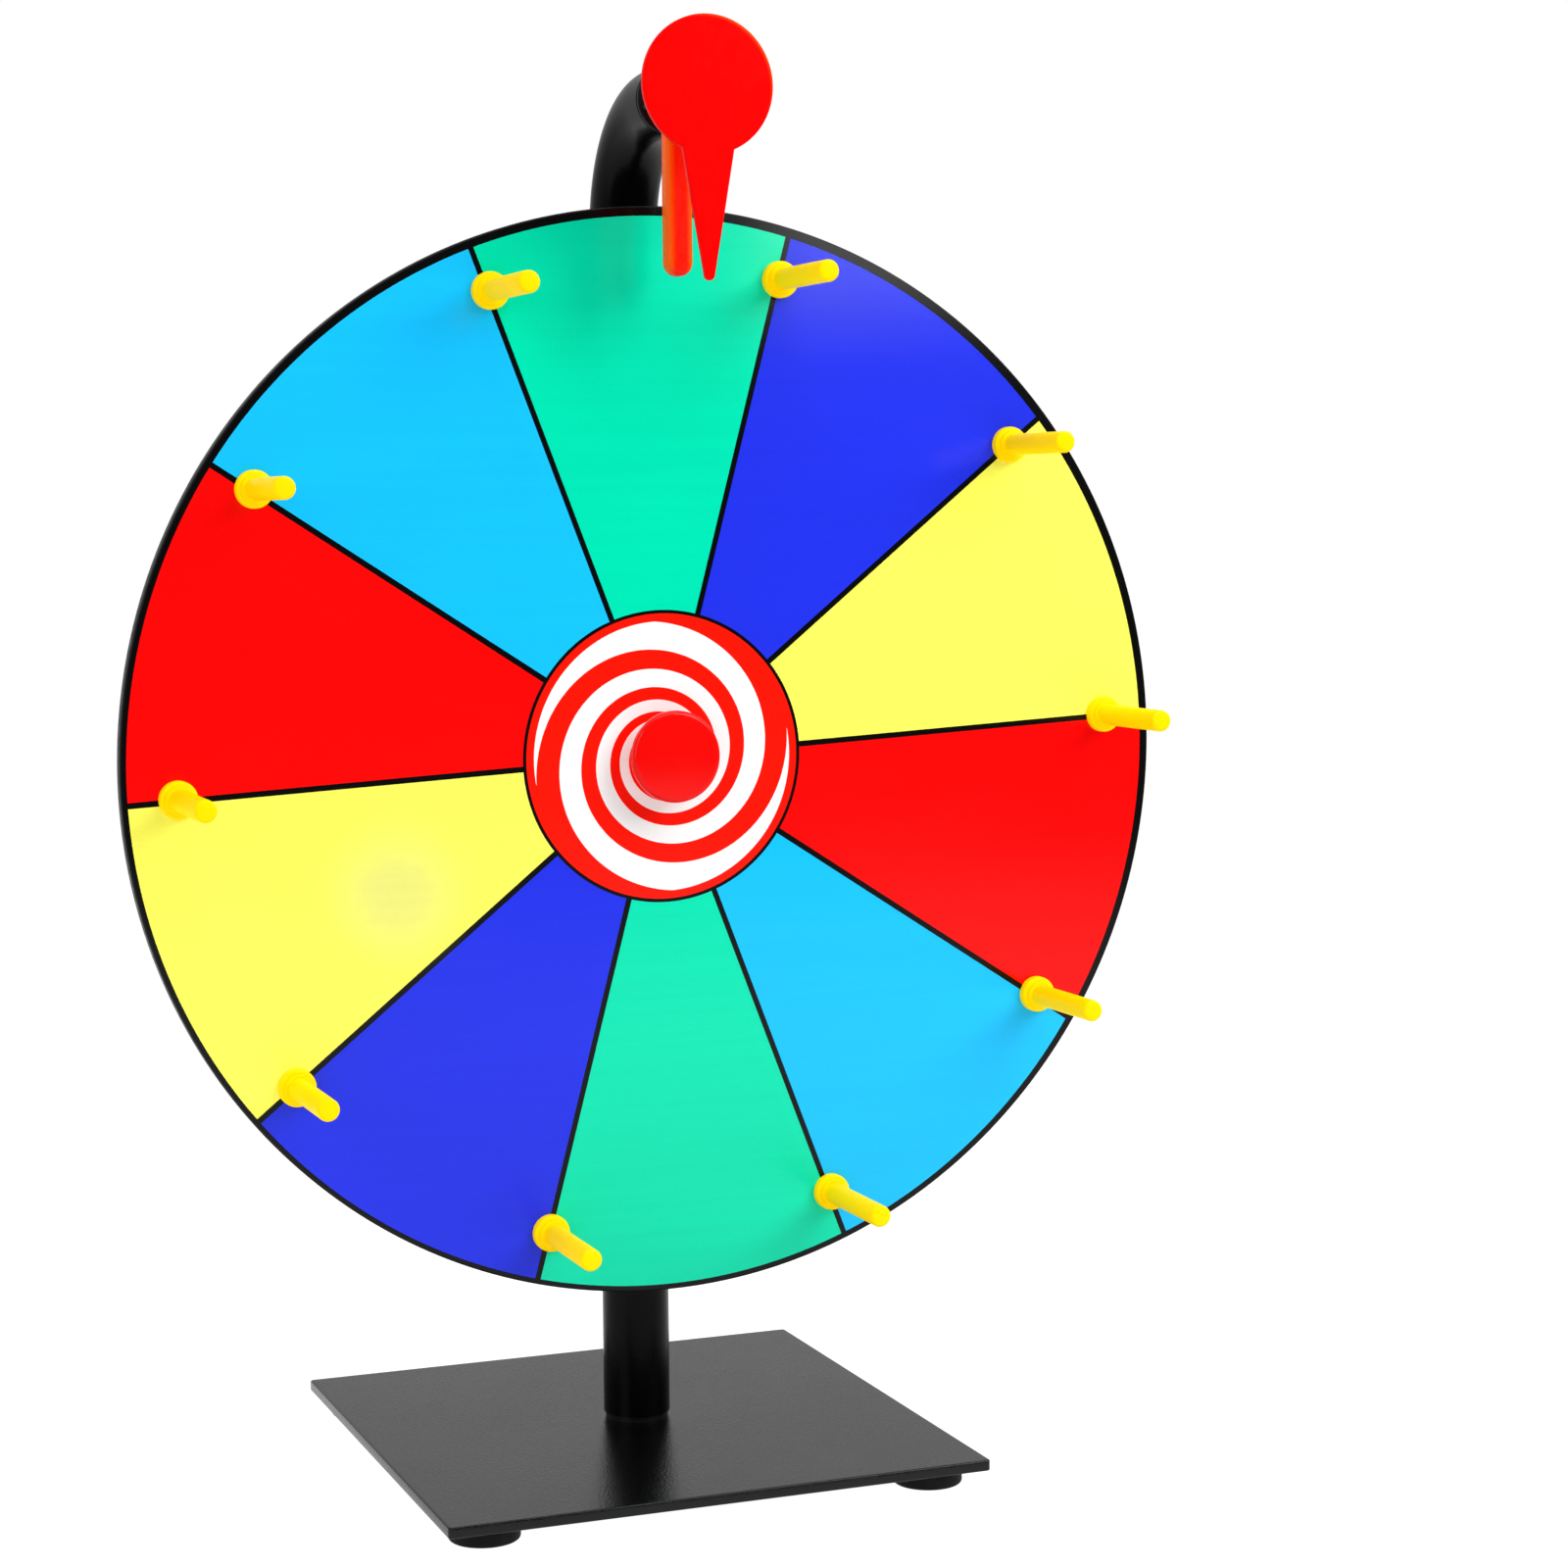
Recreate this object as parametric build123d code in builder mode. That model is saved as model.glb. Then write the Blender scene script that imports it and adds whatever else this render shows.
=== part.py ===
from build123d import *
import os
from math import cos, radians, sin, sqrt

os.makedirs("parts", exist_ok=True)

# Tabletop spinning wheel game. Millimetres, +Z up, wheel facing -Y.
# Origin on the table surface, under the wheel. The square plate sits 2 mm to the left of it.

# ---- driving dimensions ----
hub_height = 201.5
face_y = -27.0

# wheel
wheel_radius = 150.0
board_thickness = 4.0
board_edge_round = 1.0
board_rim_round = 0.35
film_thickness = 0.3
film_radius = 149.6
segment_count = 10
segment_angle = 360.0 / segment_count
first_line_angle = 15.0
hub_hole_radius = 8.8

# pegs
peg_circle_radius = 135.2
peg_reach = 36.5
peg_shaft_radius = 3.0
peg_shaft_round = 0.9
peg_collar_radius = 3.9
peg_collar_length = 1.1
peg_flange_radius = 5.1
peg_flange_thickness = 2.5
peg_flange_round = 0.9
peg_spigot_radius = 2.5
peg_pilot_radius = 1.25
peg_pilot_depth = 9.0
fit_gap = 0.02

# small pan-head screws
screw_head_radius = 2.6
screw_head_height = 1.8
screw_head_round = 0.7
screw_slot_length = 3.0
screw_slot_width = 0.7
screw_slot_depth = 0.9
peg_screw_length = 8.5
hub_screw_length = 6.0
hub_screw_radius = 1.3
hub_screw_circle = 19.0
hub_screw_count = 4

# hub flange
flange_radius = 26.0
flange_thickness = 2.5
barrel_radius = 11.5
barrel_lip = 0.5
shoulder_radius = 6.9
shoulder_length = 3.0
front_recess = 1.0

# ball bearings, 8 x 16 x 5
bearing_bore = 4.0
bearing_outer = 8.0
bearing_width = 5.0
inner_ring_radius = 5.05
outer_ring_radius = 6.95
ball_circle_radius = 6.0
ball_radius = 1.19
groove_radius = 1.25
ball_count = 9
cage_half_width = 1.6
cage_inner = 5.5
cage_outer = 6.5
pocket_radius = 1.21
pocket_length = 3.0

# axle, M8
axle_radius = 3.98
axle_hole_radius = 4.1
nut_flats = 13.0
axle_head_height = 5.3
axle_nut_height = 8.0
axle_nut_collar_radius = 5.6
axle_nut_collar_height = 1.6
axle_thread_past_nut = 1.0
axle_washer_thickness = 0.5
axle_washer_radius = 5.0
saddle_radius = 5.3
back_saddle_radius = 7.0
back_saddle_height = 1.8

# centre cap
cap_radius = 12.65
cap_proud = 10.4
cap_thickness = 3.5
cap_round = 1.3
cap_stem_radius = 8.75
cap_cavity_radius = 7.9
cap_cavity_front = 6.0

# post
post_y = 3.5
tube_radius = 9.525
tube_wall = 1.525
bend_radius = 32.0
arm_height = hub_height + 177.3
arm_end_y = -36.0

# base
base_size = 154.0
base_shift = -2.0
base_thickness = 3.0
base_corner_radius = 1.2
base_edge_round = 0.4
foot_height = 5.0
foot_radius = 9.6
foot_inset = 13.3
foot_round = 0.9
foot_plug_collar_radius = 9.0
foot_plug_collar_height = 1.7
foot_plug_length = 22.0
foot_plug_bore_depth = 20.0
base_bolt_radius = 3.98
base_bolt_length = 24.0
base_bolt_head_radius = 6.5
base_bolt_head_height = 2.6
base_bolt_socket_flats = 5.0
base_bolt_socket_depth = 1.5
base_washer_radius = 8.0
base_washer_thickness = 1.2
base_bolt_hole_radius = 4.2

# pointer and flapper, on one stud in the end of the arm
plug_collar_radius = 9.4
plug_collar_length = 1.3
plug_length = 7.0
stud_radius = 2.5
stud_in_plug = 8.0
stop_pin_radius = 1.0
stop_pin_length = 3.7
stop_pin_distance = 7.6
stop_pin_angle = 73.5
flapper_washer_radius = 5.0
flapper_washer_thickness = 0.9
flapper_side_gap = 0.2
flapper_thickness = 6.0
flapper_width = 7.4
flapper_eye_radius = 6.0
flapper_length = 47.5
flapper_bore_radius = 2.56
flapper_edge_round = 1.7
stud_nut_flats = 8.0
stud_nut_height = 2.7
pointer_rear_y = -65.0
pointer_thickness = 1.5
pointer_disc_radius = 18.15
pointer_disc_lift = 0.6
pointer_neck_half_width = 7.42
pointer_neck_drop = 14.55
pointer_tip_radius = 1.45
pointer_tip_drop = 50.2
pointer_edge_round = 0.35
pointer_boss_radius = 6.0
pointer_boss_bore_depth = 12.0
stud_end_gap = 0.8

# ---- derived positions along Y ----
board_front_y = face_y + film_thickness
board_back_y = board_front_y + board_thickness
flange_back_y = board_back_y + flange_thickness
front_bearing_y = board_back_y + front_recess
shoulder_front_y = front_bearing_y + bearing_width
shoulder_back_y = shoulder_front_y + shoulder_length
rear_bearing_end_y = shoulder_back_y + bearing_width
barrel_end_y = rear_bearing_end_y + barrel_lip
tube_back_y = post_y + tube_radius
axle_head_y = tube_back_y + back_saddle_height
axle_nut_back_y = front_bearing_y - axle_washer_thickness
axle_nut_front_y = axle_nut_back_y - axle_nut_height
axle_front_y = axle_nut_front_y - axle_thread_past_nut
cap_front_y = face_y - cap_proud
cap_back_y = cap_front_y + cap_thickness
plug_front_y = arm_end_y - plug_collar_length
flapper_back_y = plug_front_y - flapper_washer_thickness - flapper_side_gap
flapper_front_y = flapper_back_y - flapper_thickness
front_washer_y = flapper_front_y - flapper_side_gap
stud_nut_y = front_washer_y - flapper_washer_thickness
boss_back_y = stud_nut_y - stud_nut_height
boss_bore_end_y = boss_back_y - pointer_boss_bore_depth
base_top = foot_height + base_thickness
tube_bottom = base_top + foot_plug_collar_height
peg_angles = [first_line_angle + segment_angle * i for i in range(segment_count)]

hub_axis = Axis((0, 0, hub_height), (0, 1, 0))
# half section through the wheel's axis: local x runs along +Y, local y is the radius
hub_section = Plane(origin=(0, 0, hub_height), x_dir=(0, 1, 0), z_dir=(1, 0, 0))


def hub_plane(y):
    """Upright plane facing the player, centred on the wheel's axis."""
    return Plane(origin=(0, y, hub_height), x_dir=(1, 0, 0), z_dir=(0, -1, 0))


def arm_plane(y):
    """Upright plane facing the player, centred on the arm's axis."""
    return Plane(origin=(0, y, arm_height), x_dir=(1, 0, 0), z_dir=(0, -1, 0))


def on_circle(radius, angle):
    """Point on a circle, the angle clockwise from the top as the player sees it."""
    return radius * sin(radians(angle)), radius * cos(radians(angle))


def save(part, name):
    part.label = name
    export_step(part, "parts/" + name + ".step")


# ---- base ----
with BuildPart() as base_plate:
    with BuildSketch(Plane.XY.offset(foot_height)):
        with Locations((base_shift, 0)):
            RectangleRounded(base_size, base_size, base_corner_radius)
        with Locations((0, post_y)):
            Circle(base_bolt_hole_radius, mode=Mode.SUBTRACT)
    extrude(amount=base_thickness)
    top_rim = base_plate.faces().sort_by(Axis.Z)[-1].outer_wire().edges()
    fillet(top_rim, base_edge_round)
save(base_plate.part, "base_plate")

foot_offset = base_size / 2 - foot_inset
foot_left_x = base_shift - foot_offset
foot_right_x = base_shift + foot_offset
foot_places = {
    "foot_front_left": (foot_left_x, -foot_offset),
    "foot_front_right": (foot_right_x, -foot_offset),
    "foot_back_left": (foot_left_x, foot_offset),
    "foot_back_right": (foot_right_x, foot_offset),
}
for foot_name, place in foot_places.items():
    with BuildPart() as foot:
        with BuildSketch(Plane.XY):
            with Locations(place):
                Circle(foot_radius)
        extrude(amount=foot_height)
        fillet(foot.edges().sort_by(Axis.Z)[0], foot_round)
    save(foot.part, foot_name)

with BuildPart() as post_foot_plug:
    with BuildSketch(Plane.XY.offset(base_top)):
        with Locations((0, post_y)):
            Circle(foot_plug_collar_radius)
    extrude(amount=foot_plug_collar_height)
    with BuildSketch(Plane.XY.offset(tube_bottom)):
        with Locations((0, post_y)):
            Circle(tube_radius - tube_wall - fit_gap)
    extrude(amount=foot_plug_length)
    with BuildSketch(Plane.XY.offset(base_top)):
        with Locations((0, post_y)):
            Circle(base_bolt_radius + fit_gap)
    extrude(amount=foot_plug_bore_depth, mode=Mode.SUBTRACT)
save(post_foot_plug.part, "post_foot_plug")

washer_bottom = foot_height - base_washer_thickness
with BuildPart() as base_bolt_washer:
    with BuildSketch(Plane.XY.offset(washer_bottom)):
        with Locations((0, post_y)):
            Circle(base_washer_radius)
            Circle(base_bolt_hole_radius, mode=Mode.SUBTRACT)
    extrude(amount=base_washer_thickness)
save(base_bolt_washer.part, "base_bolt_washer")

head_bottom = washer_bottom - base_bolt_head_height
with BuildPart() as base_bolt:
    with BuildSketch(Plane.XY.offset(head_bottom)):
        with Locations((0, post_y)):
            Circle(base_bolt_head_radius)
    extrude(amount=base_bolt_head_height)
    fillet(base_bolt.edges().sort_by(Axis.Z)[0], screw_head_round)
    with BuildSketch(Plane.XY.offset(washer_bottom)):
        with Locations((0, post_y)):
            Circle(base_bolt_radius)
    extrude(amount=base_bolt_length - base_bolt_head_height)
    with BuildSketch(Plane.XY.offset(head_bottom)):
        with Locations((0, post_y)):
            RegularPolygon(base_bolt_socket_flats / 2, 6, major_radius=False)
    extrude(amount=base_bolt_socket_depth, mode=Mode.SUBTRACT)
save(base_bolt.part, "base_bolt")

# ---- bent tube ----
with BuildPart() as post_tube:
    with BuildLine(Plane.YZ) as tube_path:
        Line((post_y, tube_bottom), (post_y, arm_height - bend_radius))
        CenterArc((post_y - bend_radius, arm_height - bend_radius), bend_radius, 0, 90)
        Line((post_y - bend_radius, arm_height), (arm_end_y, arm_height))
    with BuildSketch(Plane.XY.offset(tube_bottom)):
        with Locations((0, post_y)):
            Circle(tube_radius)
            Circle(tube_radius - tube_wall, mode=Mode.SUBTRACT)
    sweep(path=tube_path.wires()[0])
    with BuildSketch(hub_plane(post_y)):
        Circle(axle_hole_radius)
    extrude(amount=2 * tube_radius, both=True, mode=Mode.SUBTRACT)
save(post_tube.part, "post_tube")

# ---- axle ----
with BuildPart() as axle_bolt:
    with BuildSketch(hub_plane(axle_head_y + axle_head_height)):
        RegularPolygon(nut_flats / 2, 6, major_radius=False)
    extrude(amount=axle_head_height)
    with BuildSketch(hub_plane(axle_head_y)):
        Circle(axle_radius)
    extrude(amount=axle_head_y - axle_front_y)
    chamfer(axle_bolt.edges().sort_by(Axis.Y)[0], board_edge_round / 2)
save(axle_bolt.part, "axle_bolt")

with BuildPart() as axle_nut:
    with BuildSketch(hub_plane(axle_nut_back_y)):
        RegularPolygon(nut_flats / 2, 6, major_radius=False)
    extrude(amount=axle_nut_height - axle_nut_collar_height)
    with BuildSketch(hub_plane(axle_nut_front_y + axle_nut_collar_height)):
        Circle(axle_nut_collar_radius)
    extrude(amount=axle_nut_collar_height)
    with BuildSketch(hub_plane(axle_nut_back_y)):
        Circle(axle_radius)
    extrude(amount=axle_nut_height, mode=Mode.SUBTRACT)
save(axle_nut.part, "axle_nut")

with BuildPart() as axle_front_washer:
    with BuildSketch(hub_plane(front_bearing_y)):
        Circle(axle_washer_radius)
        Circle(axle_radius, mode=Mode.SUBTRACT)
    extrude(amount=axle_washer_thickness)
save(axle_front_washer.part, "axle_front_washer")

with BuildPart() as inner_ring_spacer:
    with BuildSketch(hub_plane(shoulder_back_y)):
        Circle(axle_washer_radius)
        Circle(axle_radius, mode=Mode.SUBTRACT)
    extrude(amount=shoulder_length)
save(inner_ring_spacer.part, "inner_ring_spacer")

# the two saddles have one flat end and one end hollowed to sit on the round tube
with BuildPart() as front_saddle:
    with BuildSketch(hub_plane(post_y)):
        Circle(saddle_radius)
        Circle(axle_radius, mode=Mode.SUBTRACT)
    extrude(amount=post_y - rear_bearing_end_y)
    with BuildSketch(Plane.XY.offset(hub_height)):
        with Locations((0, post_y)):
            Circle(tube_radius)
    extrude(amount=2 * saddle_radius, both=True, mode=Mode.SUBTRACT)
save(front_saddle.part, "front_saddle")

with BuildPart() as back_saddle:
    with BuildSketch(hub_plane(axle_head_y)):
        Circle(back_saddle_radius)
        Circle(axle_radius, mode=Mode.SUBTRACT)
    extrude(amount=axle_head_y - post_y)
    with BuildSketch(Plane.XY.offset(hub_height)):
        with Locations((0, post_y)):
            Circle(tube_radius)
    extrude(amount=2 * back_saddle_radius, both=True, mode=Mode.SUBTRACT)
save(back_saddle.part, "back_saddle")

# ---- two ball bearings ----
bearing_middles = {
    "front": front_bearing_y + bearing_width / 2,
    "rear": shoulder_back_y + bearing_width / 2,
}
for side, middle in bearing_middles.items():
    ball_centre = (middle, ball_circle_radius)
    with BuildPart() as inner_ring:
        with BuildSketch(hub_section):
            with Locations((middle, (bearing_bore + inner_ring_radius) / 2)):
                Rectangle(bearing_width, inner_ring_radius - bearing_bore)
            with Locations(ball_centre):
                Circle(groove_radius, mode=Mode.SUBTRACT)
        revolve(axis=hub_axis)
    save(inner_ring.part, side + "_bearing_inner_ring")

    with BuildPart() as outer_ring:
        with BuildSketch(hub_section):
            with Locations((middle, (bearing_outer + outer_ring_radius) / 2)):
                Rectangle(bearing_width, bearing_outer - outer_ring_radius)
            with Locations(ball_centre):
                Circle(groove_radius, mode=Mode.SUBTRACT)
        revolve(axis=hub_axis)
    save(outer_ring.part, side + "_bearing_outer_ring")

    ball_plane = Plane(origin=(0, middle, hub_height), x_dir=(1, 0, 0), z_dir=(0, -1, 0))
    with BuildPart(ball_plane) as balls:
        with PolarLocations(ball_circle_radius, ball_count):
            Sphere(ball_radius)
    save(balls.part, side + "_bearing_balls")

    with BuildPart(ball_plane) as cage:
        with BuildSketch(ball_plane):
            Circle(cage_outer)
            Circle(cage_inner, mode=Mode.SUBTRACT)
        extrude(amount=cage_half_width, both=True)
        with PolarLocations(ball_circle_radius, ball_count):
            Cylinder(pocket_radius, pocket_length, rotation=(0, 90, 0), mode=Mode.SUBTRACT)
    save(cage.part, side + "_bearing_cage")

# ---- wheel ----
with BuildPart() as hub_flange:
    with BuildSketch(hub_plane(flange_back_y)):
        Circle(flange_radius)
        with PolarLocations(hub_screw_circle, hub_screw_count, start_angle=45):
            Circle(hub_screw_radius + fit_gap, mode=Mode.SUBTRACT)
    extrude(amount=flange_thickness)
    with BuildSketch(hub_plane(barrel_end_y)):
        Circle(barrel_radius)
    extrude(amount=barrel_end_y - flange_back_y)
    with BuildSketch(hub_plane(barrel_end_y)):
        Circle(shoulder_radius)
    extrude(amount=barrel_end_y - board_back_y, mode=Mode.SUBTRACT)
    with BuildSketch(hub_plane(barrel_end_y)):
        Circle(bearing_outer)
    extrude(amount=barrel_end_y - shoulder_back_y, mode=Mode.SUBTRACT)
    with BuildSketch(hub_plane(shoulder_front_y)):
        Circle(bearing_outer)
    extrude(amount=shoulder_front_y - board_back_y, mode=Mode.SUBTRACT)
    rims = hub_flange.edges().filter_by(GeomType.CIRCLE)
    outer_rims = rims.filter_by(lambda e: e.radius > barrel_radius - fit_gap)
    back_rims = outer_rims.filter_by(lambda e: e.center().Y > flange_back_y - fit_gap)
    corner = back_rims.sort_by(lambda e: e.center().Y * 100 + e.radius)[0]
    fillet(corner, board_edge_round)
    fillet(back_rims.sort_by(Axis.Y)[-1], board_edge_round)
save(hub_flange.part, "hub_flange")

with BuildPart() as hub_screws:
    for turn in range(hub_screw_count):
        x, z = on_circle(hub_screw_circle, 45 + turn * 360 / hub_screw_count)
        with BuildSketch(hub_plane(flange_back_y + screw_head_height)):
            with Locations((x, z)):
                Circle(screw_head_radius)
        extrude(amount=screw_head_height)
        with BuildSketch(hub_plane(flange_back_y)):
            with Locations((x, z)):
                Circle(hub_screw_radius)
        extrude(amount=hub_screw_length)
    hub_heads = hub_screws.edges().filter_by(GeomType.CIRCLE).group_by(Axis.Y)[-1]
    fillet(hub_heads, screw_head_round)
    # crossed driver slots
    with BuildSketch(hub_plane(flange_back_y + screw_head_height)):
        with PolarLocations(hub_screw_circle, hub_screw_count, start_angle=45):
            Rectangle(screw_slot_length, screw_slot_width)
            Rectangle(screw_slot_width, screw_slot_length)
    extrude(amount=screw_slot_depth, mode=Mode.SUBTRACT)
save(hub_screws.part, "hub_screws")

with BuildPart() as wheel_board:
    with BuildSketch(hub_plane(board_back_y)):
        Circle(wheel_radius)
        Circle(hub_hole_radius, mode=Mode.SUBTRACT)
        for angle in peg_angles:
            with Locations(on_circle(peg_circle_radius, angle)):
                Circle(peg_spigot_radius + fit_gap, mode=Mode.SUBTRACT)
    extrude(amount=board_thickness)
    board_rims = wheel_board.edges().filter_by(GeomType.CIRCLE)
    fillet(board_rims.filter_by(lambda e: e.radius > film_radius), board_rim_round)
    with BuildSketch(hub_plane(board_back_y)):
        with PolarLocations(hub_screw_circle, hub_screw_count, start_angle=45):
            Circle(hub_screw_radius + fit_gap)
    extrude(amount=hub_screw_length - flange_thickness, mode=Mode.SUBTRACT)
save(wheel_board.part, "wheel_board")

with BuildPart() as wheel_face_film:
    with BuildSketch(hub_plane(board_front_y)):
        Circle(film_radius)
        Circle(hub_hole_radius, mode=Mode.SUBTRACT)
        for angle in peg_angles:
            with Locations(on_circle(peg_circle_radius, angle)):
                Circle(peg_spigot_radius + fit_gap, mode=Mode.SUBTRACT)
    extrude(amount=film_thickness)
save(wheel_face_film.part, "wheel_face_film")

for number, angle in enumerate(peg_angles, start=1):
    x, z = on_circle(peg_circle_radius, angle)
    with BuildPart() as peg:
        with BuildSketch(hub_plane(board_back_y)):
            with Locations((x, z)):
                Circle(peg_spigot_radius)
        extrude(amount=board_thickness + film_thickness)
        with BuildSketch(hub_plane(face_y)):
            with Locations((x, z)):
                Circle(peg_shaft_radius)
        extrude(amount=peg_reach)
        fillet(peg.edges().sort_by(Axis.Y)[0], peg_shaft_round)
        with BuildSketch(hub_plane(face_y)):
            with Locations((x, z)):
                Circle(peg_flange_radius)
        extrude(amount=peg_flange_thickness)
        flange_rims = peg.edges().filter_by(GeomType.CIRCLE)
        flange_rims = flange_rims.filter_by(lambda e: e.radius > peg_collar_radius)
        fillet(flange_rims.sort_by(Axis.Y)[0], peg_flange_round)
        with BuildSketch(hub_plane(face_y - peg_flange_thickness)):
            with Locations((x, z)):
                Circle(peg_collar_radius)
        extrude(amount=peg_collar_length)
        with BuildSketch(hub_plane(board_back_y)):
            with Locations((x, z)):
                Circle(peg_pilot_radius)
        extrude(amount=peg_pilot_depth, mode=Mode.SUBTRACT)
    save(peg.part, f"peg_{number:02d}")

with BuildPart() as peg_screws:
    for angle in peg_angles:
        x, z = on_circle(peg_circle_radius, angle)
        with BuildSketch(hub_plane(board_back_y + screw_head_height)):
            with Locations((x, z)):
                Circle(screw_head_radius)
        extrude(amount=screw_head_height)
        with BuildSketch(hub_plane(board_back_y)):
            with Locations((x, z)):
                Circle(peg_pilot_radius - fit_gap)
        extrude(amount=peg_screw_length)
    peg_heads = peg_screws.edges().filter_by(GeomType.CIRCLE).group_by(Axis.Y)[-1]
    fillet(peg_heads, screw_head_round)
    # crossed driver slots
    with BuildSketch(hub_plane(board_back_y + screw_head_height)):
        with PolarLocations(peg_circle_radius, segment_count, start_angle=90 - first_line_angle):
            Rectangle(screw_slot_length, screw_slot_width)
            Rectangle(screw_slot_width, screw_slot_length)
    extrude(amount=screw_slot_depth, mode=Mode.SUBTRACT)
save(peg_screws.part, "peg_screws")

with BuildPart() as centre_cap:
    with BuildSketch(hub_plane(cap_back_y)):
        Circle(cap_radius)
    extrude(amount=cap_thickness)
    fillet(centre_cap.edges().sort_by(Axis.Y)[0], cap_round)
    fillet(centre_cap.edges().sort_by(Axis.Y)[-1], board_edge_round)
    with BuildSketch(hub_plane(board_back_y)):
        Circle(cap_stem_radius)
    extrude(amount=board_back_y - cap_back_y)
    with BuildSketch(hub_plane(board_back_y)):
        Circle(cap_cavity_radius)
    extrude(amount=board_back_y - face_y + cap_cavity_front, mode=Mode.SUBTRACT)
save(centre_cap.part, "centre_cap")

# ---- pointer and flapper ----
with BuildPart() as arm_end_plug:
    with BuildSketch(arm_plane(arm_end_y)):
        Circle(plug_collar_radius)
    extrude(amount=plug_collar_length)
    fillet(arm_end_plug.edges().sort_by(Axis.Y)[0], base_edge_round)
    with BuildSketch(arm_plane(arm_end_y + plug_length)):
        Circle(tube_radius - tube_wall - fit_gap)
    extrude(amount=plug_length)
    with BuildSketch(arm_plane(plug_front_y)):
        for side in (-1, 1):
            x, drop = on_circle(stop_pin_distance, stop_pin_angle)
            with Locations((side * x, -drop)):
                Circle(stop_pin_radius)
    extrude(amount=stop_pin_length)
    with BuildSketch(arm_plane(plug_front_y)):
        Circle(stud_radius)
    extrude(amount=-stud_in_plug - fit_gap, mode=Mode.SUBTRACT)
save(arm_end_plug.part, "arm_end_plug")

stud_back_y = plug_front_y + stud_in_plug
with BuildPart() as pointer_stud:
    with BuildSketch(arm_plane(stud_back_y)):
        Circle(stud_radius)
    extrude(amount=stud_back_y - boss_bore_end_y - stud_end_gap)
save(pointer_stud.part, "pointer_stud")

washer_places = {"flapper_back_washer": plug_front_y, "flapper_front_washer": front_washer_y}
for washer_name, back_y in washer_places.items():
    with BuildPart() as flapper_washer:
        with BuildSketch(arm_plane(back_y)):
            Circle(flapper_washer_radius)
            Circle(stud_radius, mode=Mode.SUBTRACT)
        extrude(amount=flapper_washer_thickness)
    save(flapper_washer.part, washer_name)

with BuildPart() as stud_nut:
    with BuildSketch(arm_plane(stud_nut_y)):
        RegularPolygon(stud_nut_flats / 2, 6, major_radius=False)
        Circle(stud_radius, mode=Mode.SUBTRACT)
    extrude(amount=stud_nut_height)
save(stud_nut.part, "stud_nut")

# round-ended finger hanging from an eye that swings on the stud
tip_centre_drop = flapper_length - flapper_width / 2
with BuildPart() as flapper:
    with BuildSketch(arm_plane(flapper_back_y)):
        Circle(flapper_eye_radius)
        with Locations((0, -tip_centre_drop / 2)):
            Rectangle(flapper_width, tip_centre_drop)
        with Locations((0, -tip_centre_drop)):
            Circle(flapper_width / 2)
    extrude(amount=flapper_thickness)
    front_rim = flapper.faces().sort_by(Axis.Y)[0].outer_wire().edges()
    back_rim = flapper.faces().sort_by(Axis.Y)[-1].outer_wire().edges()
    fillet(front_rim + back_rim, flapper_edge_round)
    with BuildSketch(arm_plane(flapper_back_y)):
        Circle(flapper_bore_radius)
    extrude(amount=flapper_thickness, mode=Mode.SUBTRACT)
save(flapper.part, "flapper")

tip_drop = pointer_tip_drop - pointer_tip_radius
with BuildPart() as pointer_plate:
    with BuildSketch(arm_plane(pointer_rear_y)):
        with Locations((0, pointer_disc_lift)):
            Circle(pointer_disc_radius)
        with BuildLine():
            Polyline(
                (-pointer_neck_half_width, 0),
                (-pointer_neck_half_width, -pointer_neck_drop),
                (-pointer_tip_radius, -tip_drop),
                (pointer_tip_radius, -tip_drop),
                (pointer_neck_half_width, -pointer_neck_drop),
                (pointer_neck_half_width, 0),
                close=True,
            )
        make_face()
        with Locations((0, -tip_drop)):
            Circle(pointer_tip_radius)
    extrude(amount=pointer_thickness)
    plate_rim = pointer_plate.faces().sort_by(Axis.Y)[0].outer_wire().edges()
    fillet(plate_rim, pointer_edge_round)
    with BuildSketch(arm_plane(boss_back_y)):
        Circle(pointer_boss_radius)
        Circle(stud_radius, mode=Mode.SUBTRACT)
    extrude(amount=boss_back_y - boss_bore_end_y)
    with BuildSketch(arm_plane(boss_bore_end_y)):
        Circle(pointer_boss_radius)
    extrude(amount=boss_bore_end_y - pointer_rear_y)
save(pointer_plate.part, "pointer_plate")
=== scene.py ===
import math

import bmesh
import bpy
from mathutils import Matrix, Vector


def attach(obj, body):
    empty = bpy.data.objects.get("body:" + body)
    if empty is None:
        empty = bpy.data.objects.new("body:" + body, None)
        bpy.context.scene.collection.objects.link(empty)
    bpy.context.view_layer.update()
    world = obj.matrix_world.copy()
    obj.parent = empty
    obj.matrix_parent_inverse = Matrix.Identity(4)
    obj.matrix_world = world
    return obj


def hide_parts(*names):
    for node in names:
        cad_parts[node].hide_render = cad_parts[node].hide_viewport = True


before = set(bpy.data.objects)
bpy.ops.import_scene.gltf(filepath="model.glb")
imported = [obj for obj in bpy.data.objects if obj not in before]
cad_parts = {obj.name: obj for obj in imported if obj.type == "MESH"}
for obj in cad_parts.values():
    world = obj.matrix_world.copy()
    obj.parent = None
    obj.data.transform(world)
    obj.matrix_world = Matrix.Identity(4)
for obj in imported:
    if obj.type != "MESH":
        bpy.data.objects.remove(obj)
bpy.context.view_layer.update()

bl_info = {
    "name": "Game spinner",
    "version": (1, 0, 0),
    "blender": (4, 5, 0),
    "location": "3D View > Sidebar > Spinner",
    "description": "Surfaces and show pieces of a tabletop spinning wheel",
    "category": "Object",
}


# ---- settings ----


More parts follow.
